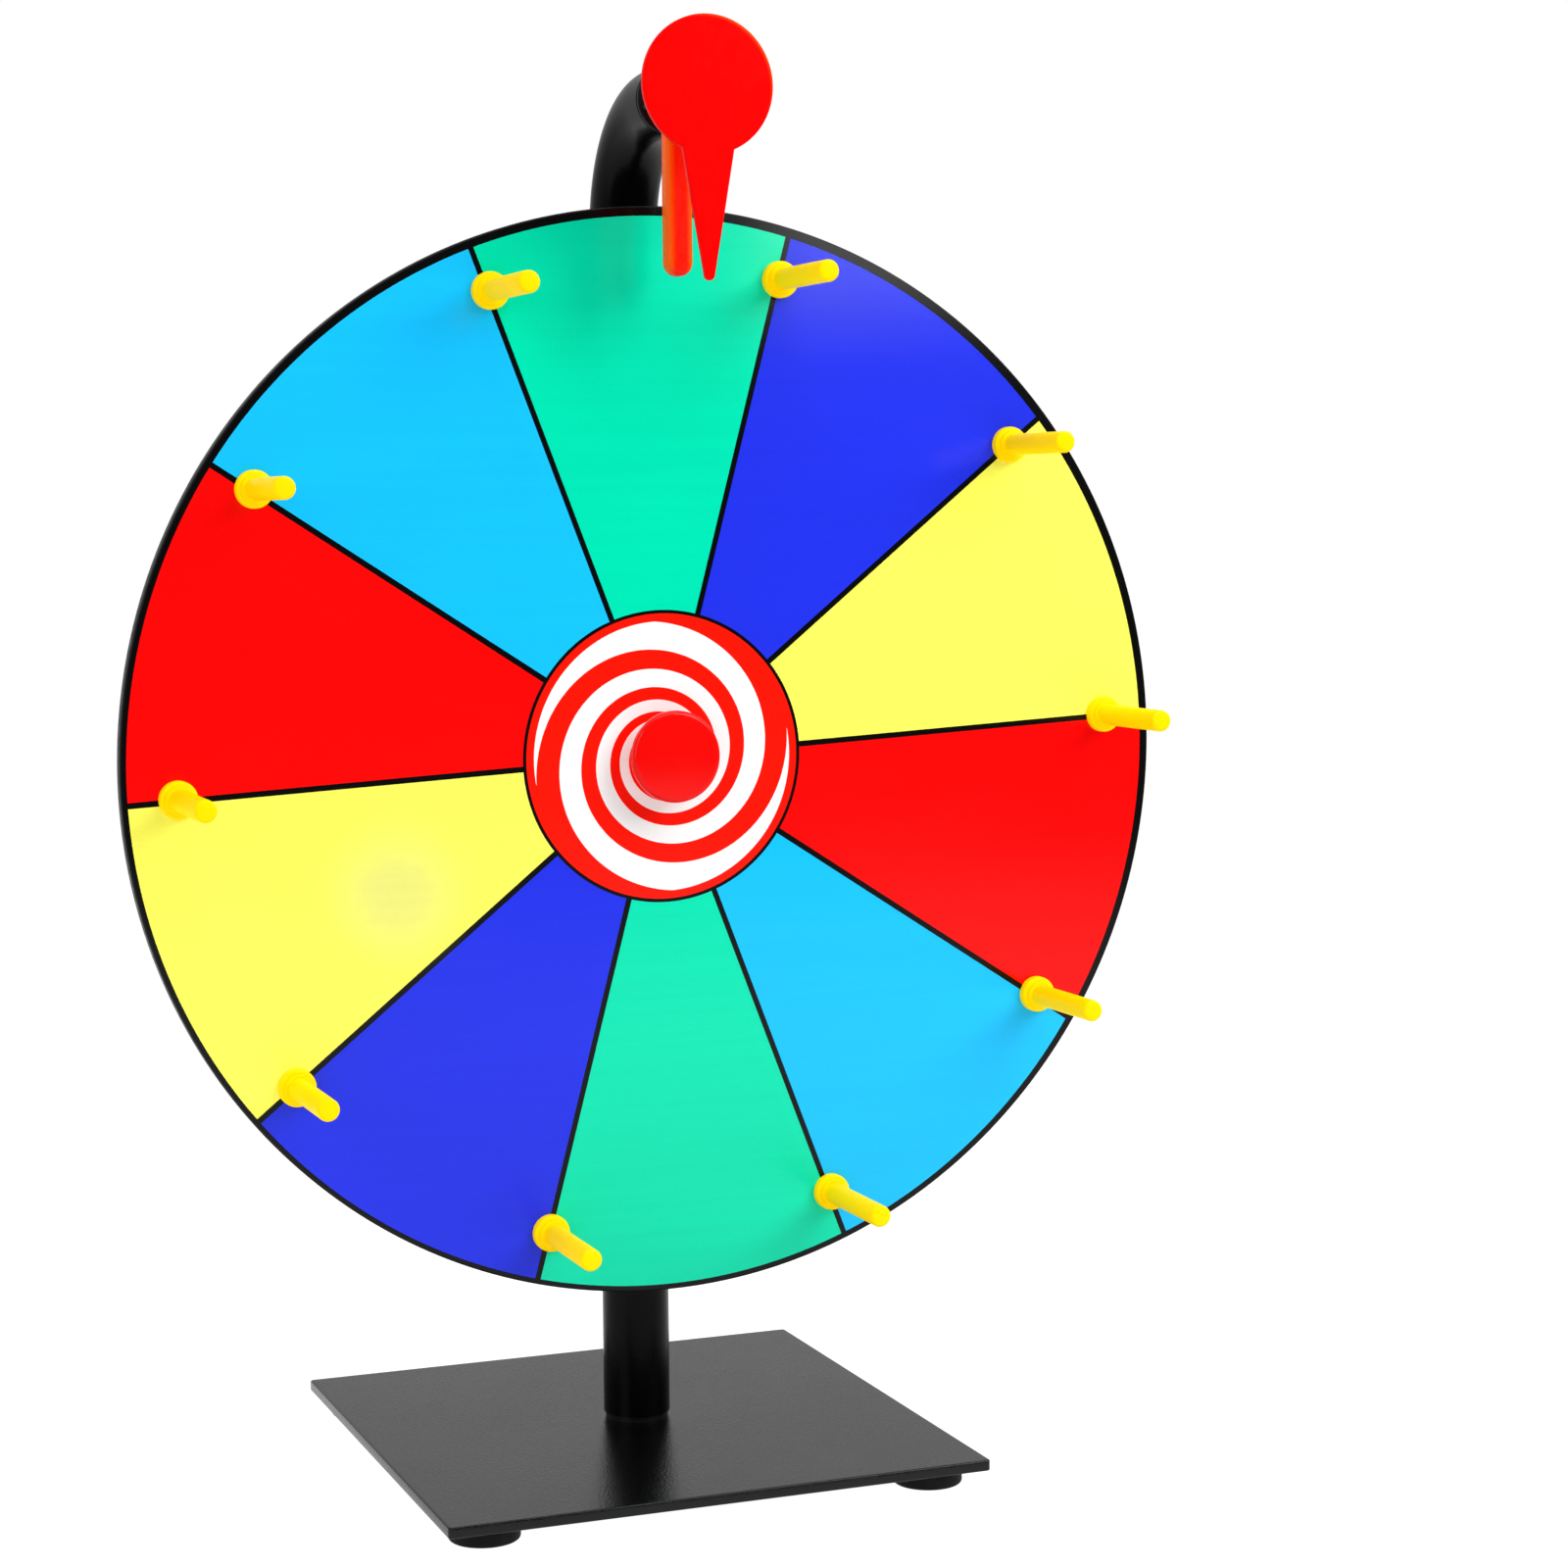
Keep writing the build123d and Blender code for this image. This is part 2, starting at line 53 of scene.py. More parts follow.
def length(name, description, value):
    """A size in metres."""
    return bpy.props.FloatProperty(
        name=name,
        description=description,
        default=value,
        min=0.0,
        precision=5,
        subtype="DISTANCE",
        unit="LENGTH",
    )


def turn(name, description, degrees):
    """An angle."""
    return bpy.props.FloatProperty(
        name=name,
        description=description,
        default=math.radians(degrees),
        subtype="ANGLE",
        unit="ROTATION",
    )


def paint(name, description, value):
    """A colour, in linear red, green and blue."""
    return bpy.props.FloatVectorProperty(
        name=name,
        description=description,
        default=value,
        size=3,
        min=0.0,
        max=1.0,
        subtype="COLOR",
        unit="NONE",
    )


def amount(name, description, value):
    """A plain number."""
    return bpy.props.FloatProperty(
        name=name, description=description, default=value, subtype="NONE", unit="NONE"
    )


class WheelSizes(bpy.types.PropertyGroup):
    """The board, its printed film and the centre cap. Reach is measured toward the player."""

    hub_height: length("Hub height", "Height of the wheel's axis", 0.2015)
    board_radius: length("Board radius", "Radius of the black board", 0.14995)
    board_front: length("Board front", "Reach of the board's front face", 0.0267)
    board_back: length("Board back", "Reach of the board's back face", 0.0227)
    board_round: length("Board edge round", "Rounding of the board's rim", 0.00035)
    film_radius: length("Film radius", "Radius of the printed film", 0.1496)
    film_front: length("Film front", "Reach of the film's glossy face", 0.027)
    film_round: length("Film edge round", "Rounding of the film's rim", 0.0001)
    hole_radius: length("Hole radius", "Radius of the hole for the hub", 0.0088)
    cap_radius: length("Cap radius", "Radius of the centre cap", 0.01265)
    cap_front: length("Cap front", "Reach of the cap's face", 0.0374)
    cap_thickness: length("Cap thickness", "Thickness of the cap's disc", 0.0035)
    cap_round: length("Cap round", "Rounding of the cap's front rim", 0.0013)
    cap_back_round: length("Cap back round", "Rounding of the cap's rear rim", 0.001)
    stem_radius: length("Stem radius", "Radius of the cap's hollow stem", 0.00875)
    cavity_radius: length("Cavity radius", "Radius of the space in the stem", 0.0079)
    cavity_front: length("Cavity front", "Reach of the space in the stem", 0.033)


class PrintSizes(bpy.types.PropertyGroup):
    """What is printed on the film, and a painted reflection on it."""

    first_line: turn("First line", "Turn of the first line from the top, clockwise", 15.0)
    line_width: length("Line width", "Width of the lines between segments", 0.0016)
    border_radius: length("Border radius", "Where the black border starts", 0.14775)
    shift_x: amount("Shift X", "How far the print sits off the wheel's axis, metres", -0.0005)
    shift_z: amount("Shift Z", "How far the print sits above the axis, metres", -0.0005)
    ring_inner: length("Ring inside", "Inner radius of the black hub ring", 0.03948)
    ring_outer: length("Ring outside", "Outer radius of the black hub ring", 0.04044)
    spiral_pitch: amount("Spiral pitch", "Natural log of radius for each spiral turn", 0.4308)
    spiral_arms: bpy.props.IntProperty(
        name="Spiral arms", description="How many white arms the spiral has", default=2, min=1
    )
    spiral_start: amount("Spiral start", "Where a white arm starts across the pitch", 0.31)
    spiral_end: amount("Spiral end", "Where a white arm ends across the pitch", 0.85)
    spiral_reach: amount("Spiral reach", "Where the arms run out, as a share of the ring", 0.945)
    # painted reflection: where a dim reflection is painted on the left yellow segment
    reflection_x: amount("Smudge X", "How far the smudge is to the right of the axis, metres", -0.076)
    reflection_z: amount("Smudge Z", "How far the smudge is above the axis, metres", -0.034)
    reflection_inner: length("Smudge inside", "Radius up to which the smudge is full", 0.004)
    reflection_outer: length("Smudge outside", "Radius where the smudge ends", 0.024)


class PegSizes(bpy.types.PropertyGroup):
    """The ten pegs."""

    count: bpy.props.IntProperty(
        name="Count", description="How many pegs the wheel has", default=10, min=1
    )
    circle: length("Peg circle", "Radius of the circle the pegs stand on", 0.1352)
    reach: length("Reach", "Reach of the tips toward the player", 0.0635)
    shaft_radius: length("Shaft radius", "Radius of a peg's shaft", 0.003)
    shaft_round: length("Tip round", "Rounding of a peg's tip", 0.0009)
    collar_radius: length("Collar radius", "Radius of the step above the flange", 0.0039)
    collar_length: length("Collar length", "Length of the step above the flange", 0.0011)
    collar_round: length("Collar round", "Softening of the step", 0.00025)
    flange_radius: length("Flange radius", "Radius of the flange on the film", 0.0051)
    flange_length: length("Flange length", "Thickness of the flange", 0.0025)
    flange_round: length("Flange round", "Rounding of the flange", 0.0009)
    spigot_radius: length("Spigot radius", "Radius of the stub in the board", 0.0025)


class StandSizes(bpy.types.PropertyGroup):
    """The base plate, its feet and the bent post."""

    plate_size: length("Plate size", "Side of the square plate", 0.154)
    plate_shift: amount("Plate shift", "How far the plate sits to the right, metres", -0.002)
    plate_bottom: length("Plate bottom", "Height of the plate's underside", 0.005)
    plate_thickness: length("Plate thickness", "Thickness of the plate", 0.003)
    corner_round: length("Corner round", "Rounding of the plate's corners", 0.0012)
    edge_round: length("Edge round", "Softening of the plate's edges", 0.0004)
    foot_radius: length("Foot radius", "Radius of a rubber foot", 0.0096)
    foot_inset: length("Foot inset", "From the plate's edge to a foot's middle", 0.0133)
    foot_round: length("Foot round", "Rounding of a foot's lower rim", 0.0009)
    post_back: length("Post back", "How far the post stands behind the plate's middle", 0.0035)
    tube_radius: length("Tube radius", "Outer radius of the post", 0.009525)
    tube_wall: length("Tube wall", "Thickness of the post's wall", 0.001525)
    tube_bottom: length("Tube bottom", "Height of the post's lower end", 0.0097)
    bend_radius: length("Bend radius", "Radius of the bend at the top", 0.032)
    arm_height: length("Arm height", "Height of the arm's axis", 0.3788)
    arm_reach: length("Arm reach", "Reach of the arm's open end", 0.036)


class PointerSizes(bpy.types.PropertyGroup):
    """The pointer and the flapper, which hang on one stud. Drops are measured down from it."""

    plate_front: length("Plate front", "Reach of the pointer's face", 0.0665)
    plate_thickness: length("Plate thickness", "Thickness of the pointer", 0.0015)
    disc_radius: length("Disc radius", "Radius of the pointer's disc", 0.01814)
    disc_lift: length("Disc lift", "Height of the disc's middle above the stud", 0.0006)
    neck_half: length("Neck half width", "Half width of the arrow's widest place", 0.00742)
    neck_drop: length("Neck drop", "Drop of the arrow's widest place", 0.01455)
    tip_radius: length("Tip radius", "Radius of the arrow's tip", 0.00145)
    tip_drop: length("Tip drop", "Drop of the arrow's lowest place", 0.0502)
    edge_round: length("Edge round", "Softening of the pointer's front edge", 0.00035)
    back_round: length("Back round", "Softening of the pointer's rear edge", 0.0001)
    boss_radius: length("Boss radius", "Radius of the pointer's boss", 0.006)
    boss_back: length("Boss back", "Reach of the boss's rear end", 0.0482)
    boss_bore_end: length("Boss bore end", "Reach of the end of the boss's bore", 0.0602)
    boss_round: length("Boss round", "Softening of the boss's rear edge", 0.0003)
    stud_radius: length("Stud radius", "Radius of the stud", 0.0025)
    flapper_back: length("Flapper back", "Reach of the flapper's rear face", 0.0384)
    flapper_thickness: length("Flapper thickness", "Thickness of the flapper", 0.006)
    flapper_width: length("Flapper width", "Width of the finger", 0.0074)
    flapper_length: length("Flapper length", "Drop of the finger's lowest place", 0.0475)
    eye_radius: length("Eye radius", "Outer radius of the flapper's eye", 0.006)
    eye_bore: length("Eye bore", "Radius of the flapper's bore", 0.00256)
    flapper_round: length("Flapper round", "Rounding of the flapper's edges", 0.0017)
    # painted light: where the orange of light in thin plastic is painted on the flapper's sides
    # and the disc's rim
    side_light_start: length("Side tint start", "From the finger's middle to its first orange", 0.0012)
    side_light_full: length("Side tint full", "From the finger's middle to its full orange", 0.0036)
    rim_light_start: length("Rim tint start", "From the disc's middle to its first orange", 0.0181)
    rim_light_full: length("Rim tint full", "From the disc's middle to its full orange", 0.0203)
    rim_light_shift: length("Rim tint shift", "How far the tint's middle is left of and below it", 0.001)
    rim_light_drop: length("Rim tint drop", "Drop below its middle where the tint ends", 0.006)


class PrintColours(bpy.types.PropertyGroup):
    """Printing inks, in linear light."""

    green: paint("Green", "Mint segments", (0.0, 0.75, 0.44))
    blue: paint("Blue", "Dark blue segments", (0.016, 0.032, 0.78))
    yellow: paint("Yellow", "Yellow segments", (1.0, 1.0, 0.115))
    red: paint("Red", "Red segments", (1.0, 0.002, 0.002))
    sky: paint("Sky", "Light blue segments", (0.008, 0.53, 1.0))
    line: paint("Line", "Lines, border and ring", (0.0025, 0.0025, 0.0025))
    hub_red: paint("Hub red", "Ground of the spiral", (1.0, 0.008, 0.002))
    hub_white: paint("Hub white", "Arms of the spiral", (0.93, 0.93, 0.93))


class PartColours(bpy.types.PropertyGroup):
    """Colours of the moulded, painted and plated pieces, in linear light."""

    peg: paint("Peg", "Yellow pegs", (1.0, 0.66, 0.0))
    cap: paint("Cap", "Centre cap", (0.86, 0.0025, 0.0015))
    pointer: paint("Pointer", "Pointer plate", (0.92, 0.001, 0.001))
    flapper: paint("Flapper", "Swinging flapper", (1.0, 0.008, 0.0))
    # painted light: the orange painted on thin edges for light in the plastic
    thin_edge_light: paint("Thin plastic", "Red plastic where it is thin", (1.0, 0.12, 0.0))
    plate: paint("Plate", "Powder coat of the base", (0.0014, 0.0014, 0.0015))
    tube: paint("Tube", "Powder coat of the post", (0.0012, 0.0012, 0.0013))
    rubber: paint("Rubber", "Feet", (0.003, 0.003, 0.003))
    board: paint("Board", "Black board", (0.009, 0.009, 0.009))
    nylon: paint("Nylon", "Black moulded pieces", (0.006, 0.006, 0.0065))
    zinc: paint("Zinc", "Plated fasteners", (0.66, 0.67, 0.69))
    steel: paint("Steel", "Bearings", (0.72, 0.72, 0.74))


class StageSizes(bpy.types.PropertyGroup):
    """Floor, lights and camera."""

    floor_radius: length("Floor radius", "Radius of the pale floor", 1.6)
    floor_fade: length("Floor fade", "Where the floor starts to fade out", 0.45)
    floor_end: length("Floor end", "Where the floor has faded out", 1.568)
    floor_colour: paint("Floor colour", "What the floor adds to its own light", (0.2, 0.2, 0.2))
    camera_x: amount("Camera X", "Camera's place, metres", -0.29541)
    camera_y: amount("Camera Y", "Camera's place, metres", -0.85968)
    camera_z: amount("Camera Z", "Camera's place, metres", 0.26866)
    yaw: turn("Yaw", "Turn of the view from straight ahead, to the right", 21.2426)
    pitch: turn("Pitch", "Tilt of the view, up", -4.3098)
    roll: turn("Roll", "Roll of the camera", -0.4913)
    lens: amount("Lens", "Focal length, millimetres", 73.6695)
    shift_x: amount("Shift X", "Sideways shift of the lens", 0.01494)
    shift_y: amount("Shift Y", "Upward shift of the lens", -0.02069)


SETTINGS = {
    "spinner_wheel": WheelSizes,
    "spinner_print": PrintSizes,
    "spinner_pegs": PegSizes,
    "spinner_stand": StandSizes,
    "spinner_pointer": PointerSizes,
    "spinner_inks": PrintColours,
    "spinner_paints": PartColours,
    "spinner_stage": StageSizes,
}


# steps round a full turn of each round shape, and round the quarter turn of the bend
WHEEL_STEPS = 288
FLOOR_STEPS = 128
CAP_STEPS = 96
TUBE_STEPS = 72
FOOT_STEPS = 64
PEG_STEPS = 48
BORE_STEPS = 40
BEND_STEPS = 28

# steps along each arc of an outline
DISC_STEPS = 84
EYE_STEPS = 40
FINGER_STEPS = 20
TIP_STEPS = 12
CORNER_STEPS = 6

# segments of a rounded edge on round and on flat shapes, and on the flapper
RING_SEGMENTS = 4
RIM_SEGMENTS = 3
FLAPPER_SEGMENTS = 5

# edges that turn by more than this are drawn sharp
SHARP = math.radians(32.0)

# how near a vertex is to a ring that it is on, and a level or a twin that it shares, metres
NEAR = 2e-6
SAME = 1e-7

# width of the border that keeps a flat face flat up to its rounded rim, metres
FACE_BORDER = 0.0003

# colours of dirt and wear, and of a painted reflection on the film, in linear light
# painted reflection: the grey of a dim reflection on the film
DIM_REFLECTION_GREY = (0.5, 0.5, 0.36)
PAINT_SPECK = (0.2, 0.2, 0.19)
RUBBER_BLOOM = (0.06, 0.058, 0.055)
BOARD_SCUFF = (0.03, 0.03, 0.03)

# each lamp's place and its width and height in metres, and its power in watts
LAMPS = {
    "left_light": ((-1.3, -0.7, 0.75), (0.9, 1.3), 9.0),
    "right_light": ((0.82, -0.88, 1.0), (0.9, 0.9), 16.0),
    "top_light": ((0.1, -0.6, 1.6), (1.0, 0.8), 9.0),
}
LAMP_AIM = (0.0, 0.0, 0.2)


# ---- material tools ----


class Value:
    """A number on its way through a material, with ordinary arithmetic."""

    def __init__(self, finish, socket):
        self.finish = finish
        self.socket = socket

    def __add__(self, other):
        return self.finish.math("ADD", self, other)

    def __radd__(self, other):
        return self.finish.math("ADD", other, self)

    def __sub__(self, other):
        return self.finish.math("SUBTRACT", self, other)

    def __rsub__(self, other):
        return self.finish.math("SUBTRACT", other, self)

    def __mul__(self, other):
        return self.finish.math("MULTIPLY", self, other)

    def __rmul__(self, other):
        return self.finish.math("MULTIPLY", other, self)

    def __truediv__(self, other):
        return self.finish.math("DIVIDE", self, other)

    def __rtruediv__(self, other):
        return self.finish.math("DIVIDE", other, self)

    def __gt__(self, other):
        return self.finish.math("GREATER_THAN", self, other)

    def __lt__(self, other):
        return self.finish.math("LESS_THAN", self, other)

    def fract(self):
        return self.finish.math("FRACT", self)

    def floor(self):
        return self.finish.math("FLOOR", self)

    def size(self):
        return self.finish.math("ABSOLUTE", self)

    def least(self, other):
        return self.finish.math("MINIMUM", self, other)

    def wrap(self, other):
        """The remainder after dividing by other, never below 0."""
        return self.finish.math("FLOORED_MODULO", self, other)

    def ramp(self, start, end, low=0.0, high=1.0):
        """Runs smoothly from low at start to high at end."""
        made = self.finish.node(
            "ShaderNodeMapRange",
            {"interpolation_type": "SMOOTHSTEP"},
            {"Value": self, "From Min": start, "From Max": end, "To Min": low, "To Max": high},
        )
        return Value(self.finish, made.outputs["Result"])


class Finish:
    """The nodes of one material."""

    def __init__(self, material):
        material.use_nodes = True
        self.tree = material.node_tree
        self.tree.nodes.clear()

    def node(self, kind, settings, inputs):
        """A node of any kind: its settings first, then its values and links."""
        made = self.tree.nodes.new(kind)
        for key, value in settings.items():
            setattr(made, key, value)
        for key, value in inputs.items():
            self.feed(made.inputs[key], value)
        return made

    def feed(self, socket, value):
        """Puts a number, a colour or another node's output into a socket."""
        if isinstance(value, Value):
            self.tree.links.new(value.socket, socket)
        elif isinstance(value, bpy.types.NodeSocket):
            self.tree.links.new(value, socket)
        elif socket.type == "RGBA":
            socket.default_value = (*value[:3], 1.0)
        else:
            socket.default_value = value

    def math(self, operation, *values):
        """The result of one sum on numbers."""
        inputs = dict(enumerate(values))
        made = self.node("ShaderNodeMath", {"operation": operation}, inputs)
        return Value(self, made.outputs[0])

    def place(self, centre=(0.0, 0.0, 0.0)):
        """The object's coordinates, measured from a centre."""
        source = self.node("ShaderNodeTexCoord", {}, {})
        moved = self.node(
            "ShaderNodeMapping",
            {"vector_type": "POINT"},
            {"Vector": source.outputs["Object"], "Location": [-c for c in centre]},
        )
        return moved.outputs["Vector"]

    def stretched(self, place, scale):
        """The same coordinates, each multiplied by its own scale."""
        made = self.node(
            "ShaderNodeVectorMath", {"operation": "MULTIPLY"}, {0: place, 1: scale}
        )
        return made.outputs["Vector"]

    def parts(self, place):
        """The three coordinates of a place, each as a number."""
        made = self.node("ShaderNodeSeparateXYZ", {}, {"Vector": place})
        return [Value(self, made.outputs[axis]) for axis in ("X", "Y", "Z")]

    def noise(self, place, scale=1.0, detail=3.0, rough=0.55, twist=0.0):
        """Cloudy variation from 0 to 1."""
        made = self.node(
            "ShaderNodeTexNoise",
            {"noise_dimensions": "3D"},
            {
                "Vector": place,
                "Scale": scale,
                "Detail": detail,
                "Roughness": rough,
                "Distortion": twist,
            },
        )
        return Value(self, made.outputs["Fac"])

    def cells(self, place, scale):
        """Distance to the nearest of many scattered points, in cell widths."""
        made = self.node(
            "ShaderNodeTexVoronoi",
            {"feature": "F1", "distance": "EUCLIDEAN"},
            {"Vector": place, "Scale": scale, "Randomness": 1.0},
        )
        return Value(self, made.outputs["Distance"])

    def mix(self, share, first, second, blend="MIX"):
        """The colour first where share is 0, second where it is 1."""
        # a colour mix has its colours at inputs 6 and 7 and its result at output 2
        made = self.node(
            "ShaderNodeMix",
            {"data_type": "RGBA", "blend_type": blend},
            {0: share, 6: first, 7: second},
        )
        return made.outputs[2]

    def toned(self, colour, tone):
        """A colour multiplied by a number."""
        shade = self.node("ShaderNodeCombineColor", {}, {0: tone, 1: tone, 2: tone})
        return self.mix(1.0, colour, shade.outputs[0], "MULTIPLY")

    def reach(self, first, second):
        """How far from the centre a place with these two coordinates is."""
        return self.math("SQRT", first * first + second * second)

    def bump(self, height, strength, distance):
        """A surface normal disturbed by a height from 0 to 1 over a distance in metres."""
        made = self.node(
            "ShaderNodeBump",
            {},
            {"Height": height, "Strength": strength, "Distance": distance},
        )
        return made.outputs["Normal"]

    def surface(self, inputs):
        """The shader that ends the material."""
        shader = self.node("ShaderNodeBsdfPrincipled", {}, inputs)
        self.node("ShaderNodeOutputMaterial", {}, {"Surface": shader.outputs["BSDF"]})


# ---- finishes ----


def wheel_centre(scene):
    """The place on the wheel's axis above the table."""
    return (0.0, 0.0, scene.spinner_wheel.hub_height)


def print_finish(scene, material):
    """Glossy film with the coloured segments, the black lines, the spiral and a painted
    reflection.
    """
    sizes = scene.spinner_print
    inks = scene.spinner_inks
    pegs = scene.spinner_pegs
    f = Finish(material)
    place = f.place(wheel_centre(scene))
    x, _, z = f.parts(place)
    x = x - sizes.shift_x
    z = z - sizes.shift_z
    radius = f.reach(x, z)
    clockwise = f.math("ARCTAN2", x, z)
    step = 2.0 * math.pi / pegs.count
    along = (clockwise - sizes.first_line) / step
    # the inks in their order clockwise from the first line
    order = (inks.blue, inks.yellow, inks.red, inks.sky, inks.green)
    number = along.wrap(len(order)).floor()
    colour = order[0]
    for index, ink in enumerate(order[1:]):
        colour = f.mix(number > index + 0.5, colour, ink)
    # faint streaks and grain in the ink
    streaks = f.noise(f.stretched(place, (14.0, 14.0, 420.0)), rough=0.6)
    grain = f.noise(place, 1700.0, detail=2.0, rough=0.6)
    tone = streaks.ramp(0.25, 0.75, 0.97, 1.0) * grain.ramp(0.2, 0.8, 0.965, 1.0)
    colour = f.toned(colour, tone)
    # black lines between the segments
    inside = along.fract()
    from_line = inside.least(1.0 - inside) * step * radius
    colour = f.mix(from_line < sizes.line_width / 2.0, colour, inks.line)
    # white spiral arms on red inside the hub ring
    across = f.math("LOGARITHM", radius / sizes.ring_inner, math.e) / sizes.spiral_pitch
    around = clockwise * (sizes.spiral_arms / (2.0 * math.pi))
    arm = (across + around).fract()
    white = (arm > sizes.spiral_start) * (arm < sizes.spiral_end)
    white = white * (radius < sizes.ring_inner * sizes.spiral_reach)
    hub = f.mix(white, inks.hub_red, inks.hub_white)
    # black from the hub ring inward and from the border outward
    hub = f.mix(radius > sizes.ring_inner, hub, inks.line)
    bare = (radius > sizes.ring_outer) * (radius < sizes.border_radius)
    colour = f.mix(bare, hub, colour)
    # painted reflection: a greyish patch on the left yellow segment, a dim reflection painted into
    # the ink
    away = f.reach(x - sizes.reflection_x, z - sizes.reflection_z)
    cloud = f.noise(place, 38.0, twist=0.5)
    painted_reflection = away.ramp(sizes.reflection_outer, sizes.reflection_inner) * cloud.ramp(0.25, 0.65, 0.5, 1.0)
    colour = f.mix(painted_reflection * 0.35, colour, DIM_REFLECTION_GREY)
    # wiped dust, and a slow waviness of the film
    smear = f.noise(f.stretched(place, (9.0, 9.0, 30.0)), detail=4.0, rough=0.6, twist=0.6)
    dust = f.cells(place, 900.0)
    wave = f.noise(place, 22.0, detail=2.0, rough=0.5)
    rough = smear.ramp(0.3, 0.75, 0.12, 0.18) + dust.ramp(0.16, 0.06, 0.0, 0.25)
    height = wave * 0.9 + grain * 0.012
    f.surface(
        {
            "Base Color": colour,
            "Roughness": rough,
            "Normal": f.bump(height, 0.25, 0.0004),
            "Specular IOR Level": 0.15,
        }
    )


def plastic(material, colour, rough, grain_scale, depth, gloss, rim=None, glow=0.0):
    """Moulded plastic: slow shade changes, fine grain and small scuffs.

    glow is painted light: an emission that stands in for the light a bright plastic passes on from
    its other side.

    rim, if given, is painted light on thin edges, an orange standing in for light in the thin
    plastic: its colour, the point it is measured from, where it starts, where it is complete, and
    a lowest height. With a lowest height it is measured all round the point and only above that
    height, with None it is measured to the side.
    """
    f = Finish(material)
    place = f.place()
    slow = f.noise(place, 60.0)
    grain = f.noise(place, grain_scale, rough=0.6)
    scuffs = f.noise(f.stretched(place, (700.0, 160.0, 260.0)), detail=4.0, rough=0.7, twist=0.4)
    tone = slow.ramp(0.2, 0.8, 0.96, 1.0) * grain.ramp(0.2, 0.8, 0.975, 1.0)
    # painted light: orange on thin edges, standing in for light in the thin plastic
    if rim:
        edge_light, centre, start, full, lowest = rim
        x, _, z = f.parts(f.place(centre))
        away = x.size()
        if lowest is not None:
            away = f.reach(x, z) * (z > lowest)
        colour = f.mix(away.ramp(start, full), colour, edge_light)
    tinted = f.toned(colour, tone)
    inputs = {
        "Base Color": tinted,
        "Roughness": scuffs.ramp(0.35, 0.75, rough * 0.8, rough * 1.35),
        "Normal": f.bump(slow * 0.5 + grain * 0.5, 0.3, depth),
        "Specular IOR Level": gloss,
    }
    # painted light: the plastic glows by emission, standing in for light passed on through it
    if glow:
        inputs["Emission Color"] = tinted
        inputs["Emission Strength"] = glow
    f.surface(inputs)


def powder_coat(material, colour, rough, pitch, depth, gloss):
    """Baked powder paint: orange-peel dimples, a few specks of dust, dull and shiny clouds.

    pitch is the distance between dimples and depth is how deep they are, in metres.
    """
    f = Finish(material)
    place = f.place()
    peel = f.noise(place, 1.0 / pitch, detail=2.0)
    fine = f.cells(place, 2.2 / pitch)
    cloud = f.noise(place, 26.0, detail=4.0, rough=0.6)
    dust = f.cells(place, 160.0)
    specks = dust.ramp(0.05, 0.02, 0.0, 1.0) * (cloud > 0.5)
    tinted = f.toned(colour, peel.ramp(0.25, 0.75, 0.82, 1.12))
    clouded = cloud.ramp(0.3, 0.7, rough * 0.92, rough * 1.1)
    f.surface(
        {
            "Base Color": f.mix(specks * 0.25, tinted, PAINT_SPECK),
            "Roughness": clouded + fine.ramp(0.2, 0.8, 0.0, 0.05),
            "Normal": f.bump(peel * 0.8 + fine * 0.25, 0.55, depth),
            "Specular IOR Level": gloss,
        }
    )


def plated(material, colour, rough, centre):
    """Plated or ground steel with turning marks and stains."""
    f = Finish(material)
    place = f.place(centre)
    marks = f.noise(f.stretched(place, (900.0, 5200.0, 900.0)), rough=0.6)
    stain = f.noise(place, 240.0, detail=4.0, rough=0.6)
    f.surface(
        {
            "Base Color": f.toned(colour, stain.ramp(0.3, 0.8, 1.0, 0.78)),
            "Metallic": 1.0,
            "Roughness": marks.ramp(0.25, 0.75, rough * 0.75, rough * 1.3),
            "Normal": f.bump(marks, 0.2, 0.00003),
        }
    )


def rubber_finish(material, colour):
    """Moulded rubber, dull with a dusty bloom."""
    f = Finish(material)
    place = f.place()
    bloom = f.noise(place, 150.0, detail=4.0, rough=0.6)
    grain = f.noise(place, 1800.0, detail=2.0, rough=0.6)
    f.surface(
        {
            "Base Color": f.mix(bloom.ramp(0.45, 0.8, 0.0, 0.12), colour, RUBBER_BLOOM),
            "Roughness": grain.ramp(0.2, 0.8, 0.55, 0.72),
            "Normal": f.bump(grain, 0.3, 0.00012),
            "Specular IOR Level": 0.12,
        }
    )


def board_finish(material, colour, centre):
    """Foamed plastic board: a matt skin, and a finely pitted sawn edge."""
    f = Finish(material)
    place = f.place(centre)
    pits = f.cells(place, 1500.0)
    skin = f.noise(place, 420.0, rough=0.6)
    saw = f.noise(f.stretched(place, (500.0, 3500.0, 500.0)), detail=2.0, rough=0.6)
    scuff = f.noise(f.stretched(place, (40.0, 40.0, 160.0)), detail=5.0, rough=0.7, twist=0.8)
    f.surface(
        {
            "Base Color": f.mix(scuff.ramp(0.55, 0.85, 0.0, 0.5), colour, BOARD_SCUFF),
            "Roughness": skin.ramp(0.3, 0.7, 0.36, 0.5),
            "Normal": f.bump(pits * 0.4 + saw * 0.4 + skin * 0.3, 0.3, 0.00008),
            "Specular IOR Level": 0.15,
        }
    )


